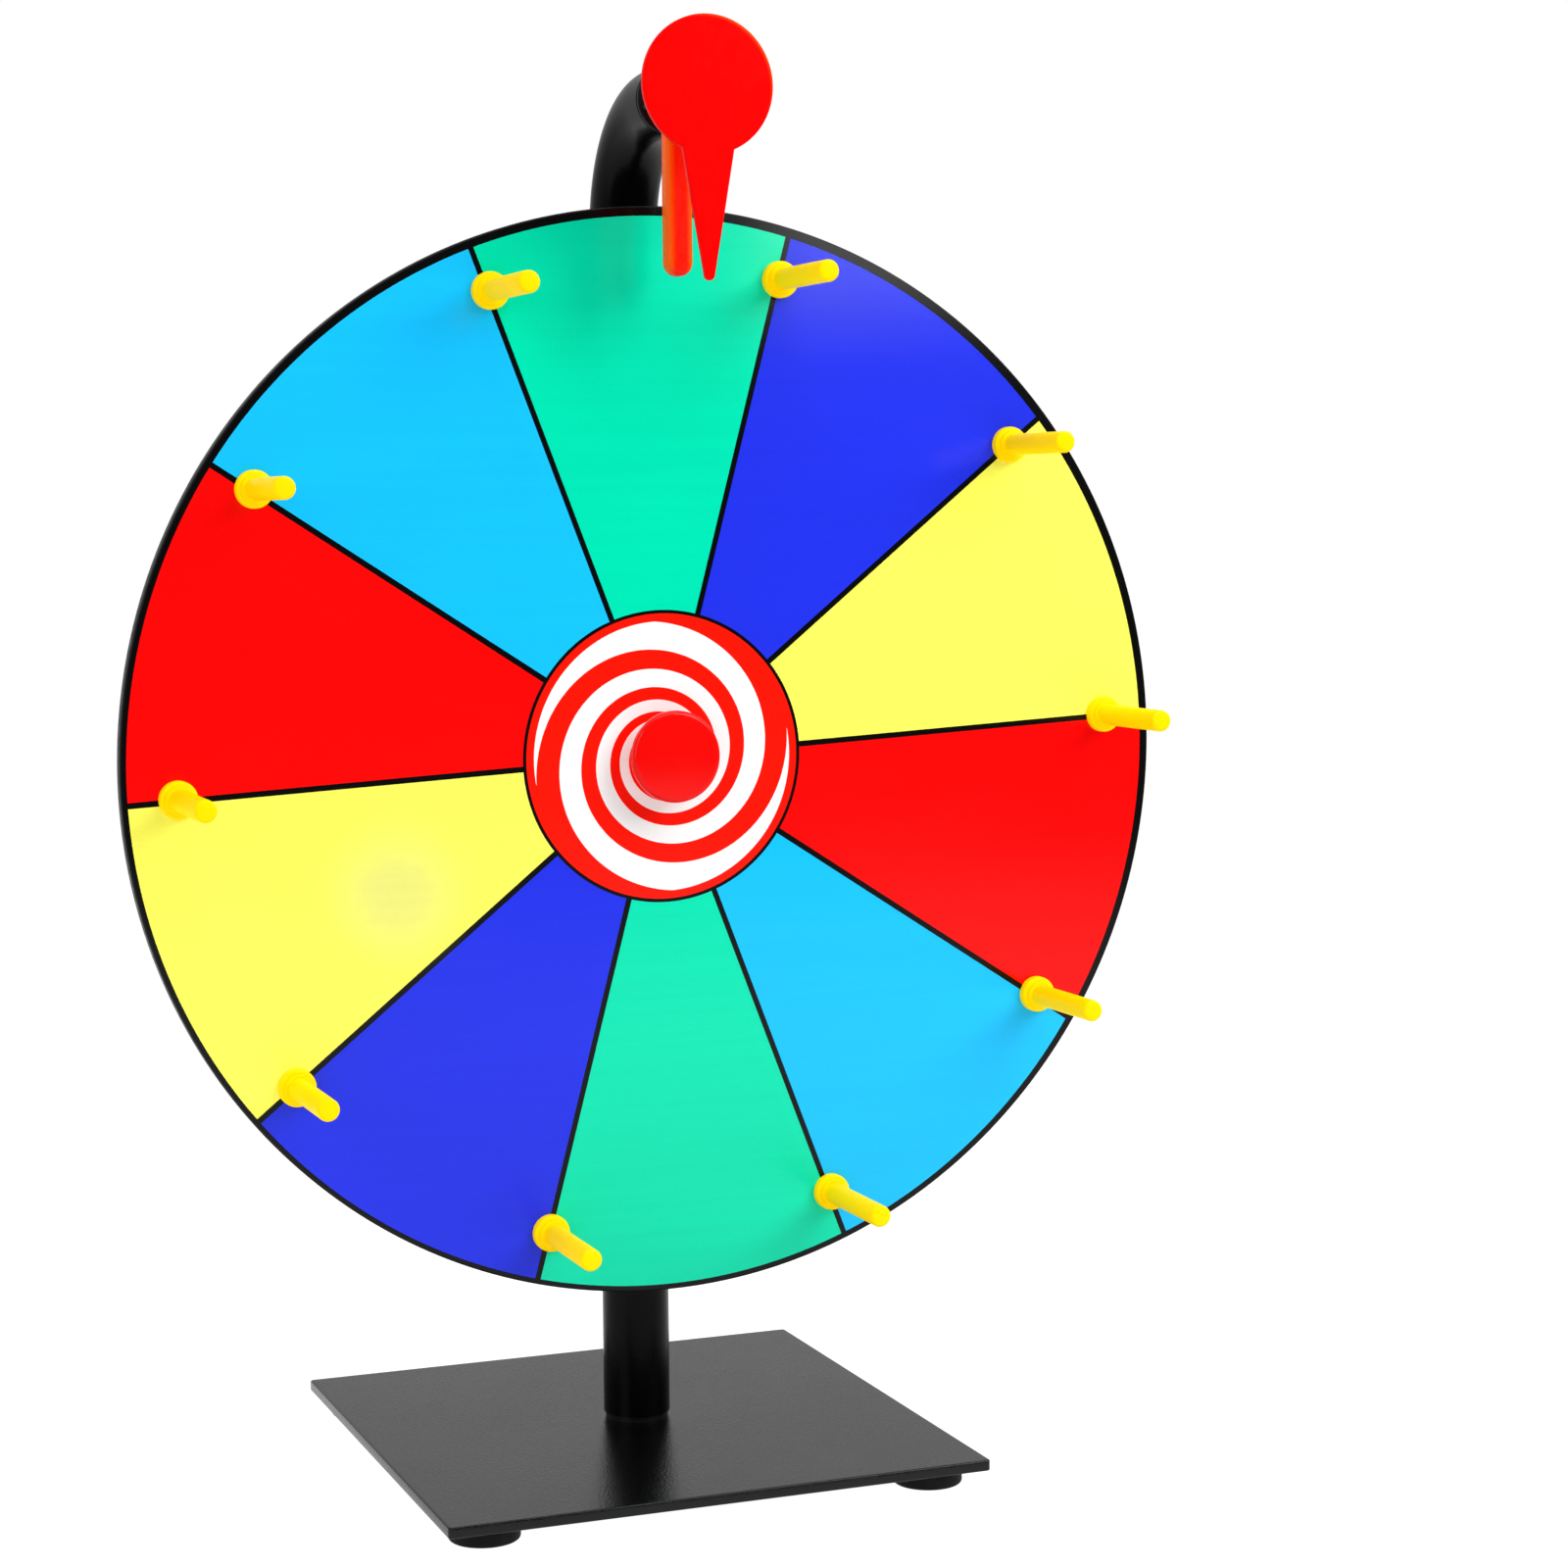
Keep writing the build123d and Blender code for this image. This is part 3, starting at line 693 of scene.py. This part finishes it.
def floor_finish(scene, material):
    """White floor that fades out far from the spinner."""
    stage = scene.spinner_stage
    f = Finish(material)
    place = f.place()
    x, y, _ = f.parts(place)
    grain = f.noise(place, 90.0, rough=0.6)
    f.surface(
        {
            "Base Color": f.toned(stage.floor_colour, grain.ramp(0.2, 0.8, 0.985, 1.0)),
            "Roughness": grain.ramp(0.2, 0.8, 0.5, 0.6),
            "Alpha": f.reach(x, y).ramp(stage.floor_fade, stage.floor_end, 1.0, 0.0),
            "Specular IOR Level": 0.1,
            "Emission Color": (1.0, 1.0, 1.0),
            "Emission Strength": 1.0,
        }
    )


# ---- shape tools ----


def toward_player(height):
    """Turns a shape made upright around Z so that its up points at the player, at this height."""
    return Matrix.Translation((0.0, 0.0, height)) @ Matrix.Rotation(math.pi / 2.0, 4, "X")


def turned(profile, steps, closed=False):
    """A round shape around Z. The profile lists (radius, distance along, rounding)."""
    bm = bmesh.new()
    points = [bm.verts.new((radius, 0.0, along)) for radius, along, _ in profile]
    pairs = list(zip(points, points[1:]))
    if closed:
        pairs.append((points[-1], points[0]))
    lines = [bm.edges.new(pair) for pair in pairs]
    bmesh.ops.spin(
        bm,
        geom=points + lines,
        cent=(0.0, 0.0, 0.0),
        axis=(0.0, 0.0, 1.0),
        angle=2.0 * math.pi,
        steps=steps,
        use_merge=True,
    )
    bmesh.ops.remove_doubles(bm, verts=bm.verts, dist=SAME)
    bmesh.ops.recalc_face_normals(bm, faces=bm.faces)
    for radius, along, rounding in profile:
        if rounding:
            round_ring(bm, radius, along, rounding)
    return bm


def soften(bm, edges, rounding, segments):
    """Rounds these edges."""
    bmesh.ops.bevel(
        bm,
        geom=edges,
        offset=rounding,
        offset_type="OFFSET",
        segments=segments,
        profile=0.5,
        affect="EDGES",
        clamp_overlap=False,
        material=-1,
    )


def round_ring(bm, radius, along, rounding):
    """Rounds the round edge of this radius at this distance along Z."""

    def on_ring(vert):
        far = math.hypot(vert.co.x, vert.co.y)
        return abs(far - radius) < NEAR and abs(vert.co.z - along) < NEAR

    ring = [e for e in bm.edges if all(on_ring(v) for v in e.verts)]
    if not ring:
        raise RuntimeError("no round edge to soften here")
    soften(bm, ring, rounding, RING_SEGMENTS)


def slab(points, low, high, rounding_low, rounding_high, segments=RIM_SEGMENTS):
    """A flat shape with this outline in X and Y, from low to high along Z, its rims rounded."""
    bm = bmesh.new()
    face = bm.faces.new([bm.verts.new((x, y, low)) for x, y in points])
    raised = bmesh.ops.extrude_face_region(bm, geom=[face], use_keep_orig=True)
    top = [v for v in raised["geom"] if isinstance(v, bmesh.types.BMVert)]
    bmesh.ops.translate(bm, verts=top, vec=(0.0, 0.0, high - low))
    bmesh.ops.recalc_face_normals(bm, faces=bm.faces)
    for level, rounding in ((low, rounding_low), (high, rounding_high)):
        if rounding:
            rim = [e for e in bm.edges if all(abs(v.co.z - level) < SAME for v in e.verts)]
            soften(bm, rim, rounding, segments)
    return bm


def caps(bm):
    """The two large flat faces of a slab, the lower one first."""
    flat = sorted(bm.faces, key=lambda face: face.calc_area())[-2:]
    return sorted(flat, key=lambda face: face.calc_center_median().z)


def flatten_caps(bm, width):
    """A narrow border inside each flat face, so that it shades flat up to its rounded rim."""
    bmesh.ops.inset_individual(bm, faces=caps(bm), thickness=width, use_even_offset=True)


def bore(bm, radius):
    """A round hole through a slab, at its origin."""
    rings = []
    for cap in caps(bm):
        rim = list(cap.edges)
        level = cap.calc_center_median().z
        bmesh.ops.delete(bm, geom=[cap], context="FACES_ONLY")
        place = Matrix.Translation((0.0, 0.0, level))
        made = bmesh.ops.create_circle(
            bm, cap_ends=False, segments=BORE_STEPS, radius=radius, matrix=place
        )
        ring = list({e for v in made["verts"] for e in v.link_edges})
        bmesh.ops.triangle_fill(bm, edges=rim + ring, use_beauty=True)
        rings += ring
    bmesh.ops.bridge_loops(bm, edges=rings)


def arc(centre, radius, start, end, steps):
    """Points along part of a circle, the angles in radians from +X."""
    angles = [start + (end - start) * i / steps for i in range(steps + 1)]
    return [(centre[0] + radius * math.cos(a), centre[1] + radius * math.sin(a)) for a in angles]


def joined(bm, other):
    """Adds another shape to bm."""
    mesh = bpy.data.meshes.new("part_shape")
    other.to_mesh(mesh)
    other.free()
    bm.from_mesh(mesh)
    bpy.data.meshes.remove(mesh)


def finished(context, bm, name, slot, body, nodes, matrix=None):
    """Turns the shape into a piece that rides on a body and stands for these CAD nodes."""
    if matrix is not None:
        bmesh.ops.transform(bm, matrix=matrix, verts=bm.verts)
    bmesh.ops.recalc_face_normals(bm, faces=bm.faces)
    for face in bm.faces:
        face.smooth = True
    for edge in bm.edges:
        edge.smooth = len(edge.link_faces) == 2 and edge.calc_face_angle() < SHARP
    mesh = bpy.data.meshes.new(name)
    bm.to_mesh(mesh)
    bm.free()
    mesh.materials.append(finish_of(context.scene, slot))
    piece = bpy.data.objects.new(name, mesh)
    context.scene.collection.objects.link(piece)
    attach(piece, body)
    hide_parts(*nodes)


def refinish(context, names, slot):
    """Gives CAD nodes the full finish of their slot."""
    for name in names:
        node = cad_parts[name]
        for holder in node.material_slots:
            holder.material = finish_of(context.scene, slot)


def flapper_edge_light(scene):
    """Painted light: orange on the finger's rounded sides, standing in for light in the thin
    plastic.
    """
    sizes = scene.spinner_pointer
    middle = (0.0, 0.0, scene.spinner_stand.arm_height)
    return scene.spinner_paints.thin_edge_light, middle, sizes.side_light_start, sizes.side_light_full, None


def pointer_edge_light(scene):
    """Painted light: orange along the outer edge of the disc, down to a little below its middle,
    standing in for light in the thin plastic.
    """
    sizes = scene.spinner_pointer
    height = scene.spinner_stand.arm_height + sizes.disc_lift - sizes.rim_light_shift
    middle = (-sizes.rim_light_shift, 0.0, height)
    return scene.spinner_paints.thin_edge_light, middle, sizes.rim_light_start, sizes.rim_light_full, -sizes.rim_light_drop


FINISHES = {
    "base_paint": lambda s, m: powder_coat(
        m, s.spinner_paints.plate, rough=0.18, pitch=0.0008, depth=0.00018, gloss=0.24
    ),
    "tube_paint": lambda s, m: powder_coat(
        m, s.spinner_paints.tube, rough=0.22, pitch=0.0016, depth=0.000006, gloss=0.08
    ),
    "feet_rubber": lambda s, m: rubber_finish(m, s.spinner_paints.rubber),
    "zinc_steel": lambda s, m: plated(m, s.spinner_paints.zinc, 0.3, wheel_centre(s)),
    "black_plastic": lambda s, m: plastic(
        m, s.spinner_paints.nylon, rough=0.42, grain_scale=900.0, depth=0.00008, gloss=0.15
    ),
    "bearing_steel": lambda s, m: plated(m, s.spinner_paints.steel, 0.12, wheel_centre(s)),
    "board_black": lambda s, m: board_finish(m, s.spinner_paints.board, wheel_centre(s)),
    "face_print": print_finish,
    # painted light: the pegs glow a little by emission
    "peg_yellow": lambda s, m: plastic(
        m, s.spinner_paints.peg, rough=0.42, grain_scale=500.0, depth=0.00003, gloss=0.04, glow=0.2
    ),
    "cap_red": lambda s, m: plastic(
        m, s.spinner_paints.cap, rough=0.16, grain_scale=400.0, depth=0.00003, gloss=0.18
    ),
    "flapper_orange": lambda s, m: plastic(
        m,
        s.spinner_paints.flapper,
        rough=0.3,
        grain_scale=700.0,
        depth=0.00005,
        gloss=0.12,
        rim=flapper_edge_light(s),
    ),
    "pointer_red": lambda s, m: plastic(
        m,
        s.spinner_paints.pointer,
        rough=0.2,
        grain_scale=500.0,
        depth=0.00003,
        gloss=0.06,
        rim=pointer_edge_light(s),
    ),
}


def finish_of(scene, slot):
    """The material for one of the record's finishes, made once."""
    name = slot + "_finish"
    made = bpy.data.materials.get(name)
    if made is None:
        made = bpy.data.materials.new(name)
        FINISHES[slot](scene, made)
    return made


# ---- one operator for each piece or group of like pieces ----


class SPINNER_OT_base_plate(bpy.types.Operator):
    """Square powder-coated steel plate"""

    bl_idname = "spinner.base_plate"
    bl_label = "Base plate"

    def execute(self, context):
        sizes = context.scene.spinner_stand
        middle = sizes.plate_size / 2.0 - sizes.corner_round
        outline = []
        for corner, (x, y) in enumerate(((1, 1), (-1, 1), (-1, -1), (1, -1))):
            start = corner * math.pi / 2.0
            centre = (sizes.plate_shift + x * middle, y * middle)
            outline += arc(centre, sizes.corner_round, start, start + math.pi / 2.0, CORNER_STEPS)
        top = sizes.plate_bottom + sizes.plate_thickness
        bm = slab(outline, sizes.plate_bottom, top, sizes.edge_round, sizes.edge_round)
        flatten_caps(bm, 2.0 * FACE_BORDER)
        finished(context, bm, "base_plate_skin", "base_paint", "stand", ["base_plate"])
        return {"FINISHED"}


class SPINNER_OT_feet(bpy.types.Operator):
    """Four round rubber feet under the corners of the plate"""

    bl_idname = "spinner.feet"
    bl_label = "Feet"

    def execute(self, context):
        sizes = context.scene.spinner_stand
        out = sizes.plate_size / 2.0 - sizes.foot_inset
        for end, y in (("front", -out), ("back", out)):
            for side, x in (("left", sizes.plate_shift - out), ("right", sizes.plate_shift + out)):
                name = "foot_" + end + "_" + side
                profile = [
                    (0.0, sizes.plate_bottom, 0.0),
                    (sizes.foot_radius, sizes.plate_bottom, 0.0),
                    (sizes.foot_radius, 0.0, sizes.foot_round),
                    (0.0, 0.0, 0.0),
                ]
                bm = turned(profile, FOOT_STEPS)
                move = Matrix.Translation((x, y, 0.0))
                finished(context, bm, name + "_skin", "feet_rubber", "stand", [name], move)
        return {"FINISHED"}


class SPINNER_OT_post(bpy.types.Operator):
    """Steel tube that rises from the plate and bends toward the player"""

    bl_idname = "spinner.post"
    bl_label = "Post"

    def shell(self, bm, sizes, radius):
        """One wall of the tube, and its two end loops."""
        made = bmesh.ops.create_circle(bm, cap_ends=False, segments=TUBE_STEPS, radius=radius)
        loop = made["verts"]
        bmesh.ops.translate(bm, verts=loop, vec=(0.0, sizes.post_back, sizes.tube_bottom))
        first = list({e for v in loop for e in v.link_edges})
        bend_start = sizes.arm_height - sizes.bend_radius
        last = self.draw_out(bm, first, (0.0, 0.0, bend_start - sizes.tube_bottom))
        arm_start = sizes.post_back - sizes.bend_radius
        made = bmesh.ops.spin(
            bm,
            geom=last + list({v for e in last for v in e.verts}),
            cent=(0.0, arm_start, bend_start),
            axis=(1.0, 0.0, 0.0),
            angle=math.pi / 2.0,
            steps=BEND_STEPS,
            use_merge=False,
        )
        last = [e for e in made["geom_last"] if isinstance(e, bmesh.types.BMEdge)]
        last = self.draw_out(bm, last, (0.0, -sizes.arm_reach - arm_start, 0.0))
        return first, last

    def draw_out(self, bm, edges, move):
        """Carries a loop of edges on in a straight run, and gives the new loop."""
        made = bmesh.ops.extrude_edge_only(bm, edges=edges)["geom"]
        verts = [v for v in made if isinstance(v, bmesh.types.BMVert)]
        bmesh.ops.translate(bm, verts=verts, vec=move)
        return [e for e in made if isinstance(e, bmesh.types.BMEdge)]

    def execute(self, context):
        sizes = context.scene.spinner_stand
        bm = bmesh.new()
        outside = self.shell(bm, sizes, sizes.tube_radius)
        inside = self.shell(bm, sizes, sizes.tube_radius - sizes.tube_wall)
        for outer, inner in zip(outside, inside):
            bmesh.ops.bridge_loops(bm, edges=outer + inner)
        finished(context, bm, "post_tube_skin", "tube_paint", "stand", ["post_tube"])
        return {"FINISHED"}


class SPINNER_OT_board(bpy.types.Operator):
    """Round black board with a softened rim"""

    bl_idname = "spinner.board"
    bl_label = "Board"

    def execute(self, context):
        sizes = context.scene.spinner_wheel
        profile = [
            (sizes.hole_radius, sizes.board_back, 0.0),
            (sizes.board_radius, sizes.board_back, sizes.board_round),
            (sizes.board_radius, sizes.board_front, sizes.board_round),
            (sizes.hole_radius, sizes.board_front, 0.0),
        ]
        bm = turned(profile, WHEEL_STEPS, closed=True)
        place = toward_player(sizes.hub_height)
        finished(context, bm, "wheel_board_skin", "board_black", "wheel", ["wheel_board"], place)
        return {"FINISHED"}


class SPINNER_OT_film(bpy.types.Operator):
    """Printed glossy film on the front of the board"""

    bl_idname = "spinner.film"
    bl_label = "Film"

    def execute(self, context):
        sizes = context.scene.spinner_wheel
        profile = [
            (sizes.hole_radius, sizes.board_front, 0.0),
            (sizes.film_radius, sizes.board_front, 0.0),
            (sizes.film_radius, sizes.film_front, sizes.film_round),
            (sizes.hole_radius, sizes.film_front, 0.0),
        ]
        bm = turned(profile, WHEEL_STEPS, closed=True)
        place = toward_player(sizes.hub_height)
        finished(context, bm, "wheel_face_skin", "face_print", "wheel", ["wheel_face_film"], place)
        return {"FINISHED"}


class SPINNER_OT_pegs(bpy.types.Operator):
    """Ten moulded pegs with a flange and a small step"""

    bl_idname = "spinner.pegs"
    bl_label = "Pegs"

    def execute(self, context):
        sizes = context.scene.spinner_pegs
        wheel = context.scene.spinner_wheel
        first = context.scene.spinner_print.first_line
        flange_top = wheel.film_front + sizes.flange_length
        collar_top = flange_top + sizes.collar_length
        for number in range(sizes.count):
            angle = first + number * 2.0 * math.pi / sizes.count
            profile = [
                (0.0, sizes.reach, 0.0),
                (sizes.shaft_radius, sizes.reach, sizes.shaft_round),
                (sizes.shaft_radius, collar_top, 0.0),
                (sizes.collar_radius, collar_top, sizes.collar_round),
                (sizes.collar_radius, flange_top, 0.0),
                (sizes.flange_radius, flange_top, sizes.flange_round),
                (sizes.flange_radius, wheel.film_front, 0.0),
                (sizes.spigot_radius, wheel.film_front, 0.0),
                (sizes.spigot_radius, wheel.board_back, 0.0),
                (0.0, wheel.board_back, 0.0),
            ]
            bm = turned(profile, PEG_STEPS)
            out = (sizes.circle * math.sin(angle), sizes.circle * math.cos(angle), 0.0)
            place = toward_player(wheel.hub_height) @ Matrix.Translation(out)
            name = "peg_%02d" % (number + 1)
            finished(context, bm, name + "_skin", "peg_yellow", "wheel", [name], place)
        return {"FINISHED"}


class SPINNER_OT_cap(bpy.types.Operator):
    """Round cap pressed into the middle of the wheel"""

    bl_idname = "spinner.cap"
    bl_label = "Centre cap"

    def execute(self, context):
        sizes = context.scene.spinner_wheel
        back = sizes.cap_front - sizes.cap_thickness
        profile = [
            (0.0, sizes.cap_front, 0.0),
            (sizes.cap_radius, sizes.cap_front, sizes.cap_round),
            (sizes.cap_radius, back, sizes.cap_back_round),
            (sizes.stem_radius, back, 0.0),
            (sizes.stem_radius, sizes.board_back, 0.0),
            (sizes.cavity_radius, sizes.board_back, 0.0),
            (sizes.cavity_radius, sizes.cavity_front, 0.0),
            (0.0, sizes.cavity_front, 0.0),
        ]
        bm = turned(profile, CAP_STEPS)
        place = toward_player(sizes.hub_height)
        finished(context, bm, "centre_cap_skin", "cap_red", "wheel", ["centre_cap"], place)
        return {"FINISHED"}


class SPINNER_OT_flapper(bpy.types.Operator):
    """Round-ended finger that hangs from an eye and clicks over the pegs"""

    bl_idname = "spinner.flapper"
    bl_label = "Flapper"

    def execute(self, context):
        sizes = context.scene.spinner_pointer
        half = sizes.flapper_width / 2.0
        start = -math.acos(half / sizes.eye_radius)
        tip = (0.0, half - sizes.flapper_length)
        outline = arc((0.0, 0.0), sizes.eye_radius, start, math.pi - start, EYE_STEPS)
        outline += arc(tip, half, math.pi, 2.0 * math.pi, FINGER_STEPS)
        low = sizes.flapper_back
        high = low + sizes.flapper_thickness
        rounding = sizes.flapper_round
        bm = slab(outline, low, high, rounding, rounding, FLAPPER_SEGMENTS)
        flatten_caps(bm, FACE_BORDER)
        bore(bm, sizes.eye_bore)
        place = toward_player(context.scene.spinner_stand.arm_height)
        finished(context, bm, "flapper_skin", "flapper_orange", "flapper", ["flapper"], place)
        return {"FINISHED"}


class SPINNER_OT_pointer(bpy.types.Operator):
    """Flat pointer: a disc with an arrow below it, on a boss"""

    bl_idname = "spinner.pointer"
    bl_label = "Pointer"

    def execute(self, context):
        sizes = context.scene.spinner_pointer
        tip = (0.0, sizes.tip_radius - sizes.tip_drop)
        side = Vector((sizes.tip_radius - sizes.neck_half, tip[1] + sizes.neck_drop))
        neck = Vector((sizes.neck_half, -sizes.neck_drop - sizes.disc_lift))
        # where the arrow's side leaves the disc
        a = side.length_squared
        b = 2.0 * neck.dot(side)
        c = neck.length_squared - sizes.disc_radius**2
        share = (math.sqrt(b * b - 4.0 * a * c) - b) / (2.0 * a)
        leave = neck + side * share
        start = math.atan2(leave.y, leave.x)
        middle = (0.0, sizes.disc_lift)
        outline = arc(middle, sizes.disc_radius, start, math.pi - start, DISC_STEPS)
        outline += arc(tip, sizes.tip_radius, math.pi, 2.0 * math.pi, TIP_STEPS)
        back = sizes.plate_front - sizes.plate_thickness
        bm = slab(outline, back, sizes.plate_front, sizes.back_round, sizes.edge_round)
        flatten_caps(bm, FACE_BORDER)
        # the boss ends a little inside the plate
        boss_front = back + sizes.plate_thickness / 4.0
        profile = [
            (0.0, sizes.boss_bore_end, 0.0),
            (sizes.stud_radius, sizes.boss_bore_end, 0.0),
            (sizes.stud_radius, sizes.boss_back, 0.0),
            (sizes.boss_radius, sizes.boss_back, sizes.boss_round),
            (sizes.boss_radius, boss_front, 0.0),
            (0.0, boss_front, 0.0),
        ]
        joined(bm, turned(profile, PEG_STEPS))
        place = toward_player(context.scene.spinner_stand.arm_height)
        finished(context, bm, "pointer_skin", "pointer_red", "stand", ["pointer_plate"], place)
        return {"FINISHED"}


class SPINNER_OT_fasteners(bpy.types.Operator):
    """Plated bolts, screws, washers and nuts, shown as they were cut"""

    bl_idname = "spinner.fasteners"
    bl_label = "Fasteners"

    def execute(self, context):
        names = [
            "base_bolt_washer",
            "base_bolt",
            "axle_bolt",
            "axle_nut",
            "axle_front_washer",
            "inner_ring_spacer",
            "stud_nut",
            "pointer_stud",
            "flapper_back_washer",
            "flapper_front_washer",
            "hub_screws",
            "peg_screws",
        ]
        refinish(context, names, "zinc_steel")
        return {"FINISHED"}


class SPINNER_OT_bearings(bpy.types.Operator):
    """Rings, balls and cages of the two ball bearings"""

    bl_idname = "spinner.bearings"
    bl_label = "Bearings"

    def execute(self, context):
        kinds = ("inner_ring", "outer_ring", "balls", "cage")
        names = [end + "_bearing_" + kind for end in ("front", "rear") for kind in kinds]
        refinish(context, names, "bearing_steel")
        return {"FINISHED"}


class SPINNER_OT_mouldings(bpy.types.Operator):
    """Black moulded hub, saddles and end plug"""

    bl_idname = "spinner.mouldings"
    bl_label = "Black mouldings"

    def execute(self, context):
        names = ["hub_flange", "front_saddle", "back_saddle", "arm_end_plug", "post_foot_plug"]
        refinish(context, names, "black_plastic")
        return {"FINISHED"}


class SPINNER_OT_stage(bpy.types.Operator):
    """Pale floor, soft studio light and the camera"""

    bl_idname = "spinner.stage"
    bl_label = "Stage"

    def softbox(self, context, name, place, size, power):
        """A soft lamp that faces the spinner."""
        light = bpy.data.lights.new(name, "AREA")
        light.shape = "RECTANGLE"
        light.size, light.size_y = size
        light.energy = power
        lamp = bpy.data.objects.new(name, light)
        lamp.location = place
        toward = Vector(LAMP_AIM) - Vector(place)
        lamp.rotation_euler = toward.to_track_quat("-Z", "Y").to_euler()
        context.scene.collection.objects.link(lamp)

    def surroundings(self, context):
        """White behind the spinner, dimmer toward the player."""
        world = bpy.data.worlds.new("studio")
        context.scene.world = world
        f = Finish(world)
        source = f.node("ShaderNodeTexCoord", {}, {})
        _, y, _ = f.parts(source.outputs["Generated"])
        glow = y.ramp(-0.55, 0.45, low=0.08, high=0.7)
        soft = f.node("ShaderNodeBackground", {}, {"Color": (1.0, 1.0, 1.0), "Strength": glow})
        plain = f.node("ShaderNodeBackground", {}, {"Color": (1.0, 1.0, 1.0), "Strength": 1.0})
        path = f.node("ShaderNodeLightPath", {}, {})
        both = f.node(
            "ShaderNodeMixShader",
            {},
            {0: path.outputs["Is Camera Ray"], 1: soft.outputs[0], 2: plain.outputs[0]},
        )
        f.node("ShaderNodeOutputWorld", {}, {"Surface": both.outputs[0]})

    def camera(self, context):
        """The camera: turned, tilted, then rolled about its own line of sight."""
        stage = context.scene.spinner_stage
        yaw, pitch, roll = stage.yaw, stage.pitch, stage.roll
        across, along, flat = math.sin(yaw), math.cos(yaw), math.cos(pitch)
        ahead = Vector((across * flat, along * flat, math.sin(pitch)))
        level = Vector((along, -across, 0.0))
        above = level.cross(ahead)
        right = level * math.cos(roll) + above * math.sin(roll)
        up = above * math.cos(roll) - level * math.sin(roll)
        data = bpy.data.cameras.new("camera")
        data.sensor_width = 36.0
        data.lens = stage.lens
        data.shift_x = stage.shift_x
        data.shift_y = stage.shift_y
        data.clip_start = 0.01
        data.clip_end = 20.0
        data.dof.use_dof = False
        camera = bpy.data.objects.new("camera", data)
        place = Matrix((right, up, -ahead)).transposed().to_4x4()
        place.translation = (stage.camera_x, stage.camera_y, stage.camera_z)
        camera.matrix_world = place
        context.scene.collection.objects.link(camera)
        context.scene.camera = camera

    def execute(self, context):
        stage = context.scene.spinner_stage
        bm = bmesh.new()
        bmesh.ops.create_circle(bm, cap_ends=True, segments=FLOOR_STEPS, radius=stage.floor_radius)
        mesh = bpy.data.meshes.new("floor")
        bm.to_mesh(mesh)
        bm.free()
        material = bpy.data.materials.new("floor_finish")
        floor_finish(context.scene, material)
        mesh.materials.append(material)
        floor = bpy.data.objects.new("floor", mesh)
        context.scene.collection.objects.link(floor)
        self.surroundings(context)
        for name, (place, size, power) in LAMPS.items():
            self.softbox(context, name, place, size, power)
        self.camera(context)
        context.scene.view_settings.view_transform = "Standard"
        return {"FINISHED"}


STEPS = (
    SPINNER_OT_base_plate,
    SPINNER_OT_feet,
    SPINNER_OT_post,
    SPINNER_OT_board,
    SPINNER_OT_film,
    SPINNER_OT_pegs,
    SPINNER_OT_cap,
    SPINNER_OT_flapper,
    SPINNER_OT_pointer,
    SPINNER_OT_fasteners,
    SPINNER_OT_bearings,
    SPINNER_OT_mouldings,
    SPINNER_OT_stage,
)


class SPINNER_PT_panel(bpy.types.Panel):
    """Buttons and sizes of the game spinner"""

    bl_idname = "SPINNER_PT_panel"
    bl_label = "Game spinner"
    bl_space_type = "VIEW_3D"
    bl_region_type = "UI"
    bl_category = "Spinner"

    def draw(self, context):
        layout = self.layout
        for step in STEPS:
            layout.operator(step.bl_idname)
        for name in SETTINGS:
            group = getattr(context.scene, name)
            box = layout.box()
            box.label(text=type(group).__doc__)
            for key in group.bl_rna.properties.keys():
                if key not in ("rna_type", "name"):
                    box.prop(group, key)


def register():
    for name, group in SETTINGS.items():
        bpy.utils.register_class(group)
        setattr(bpy.types.Scene, name, bpy.props.PointerProperty(type=group))
    for step in STEPS:
        bpy.utils.register_class(step)
    bpy.utils.register_class(SPINNER_PT_panel)


def unregister():
    bpy.utils.unregister_class(SPINNER_PT_panel)
    for step in reversed(STEPS):
        bpy.utils.unregister_class(step)
    for name, group in reversed(SETTINGS.items()):
        delattr(bpy.types.Scene, name)
        bpy.utils.unregister_class(group)


def main():
    register()
    for step in STEPS:
        group, name = step.bl_idname.split(".")
        if getattr(getattr(bpy.ops, group), name)() != {"FINISHED"}:
            raise RuntimeError(step.bl_label + " was not made")


if __name__ == "__main__":
    main()
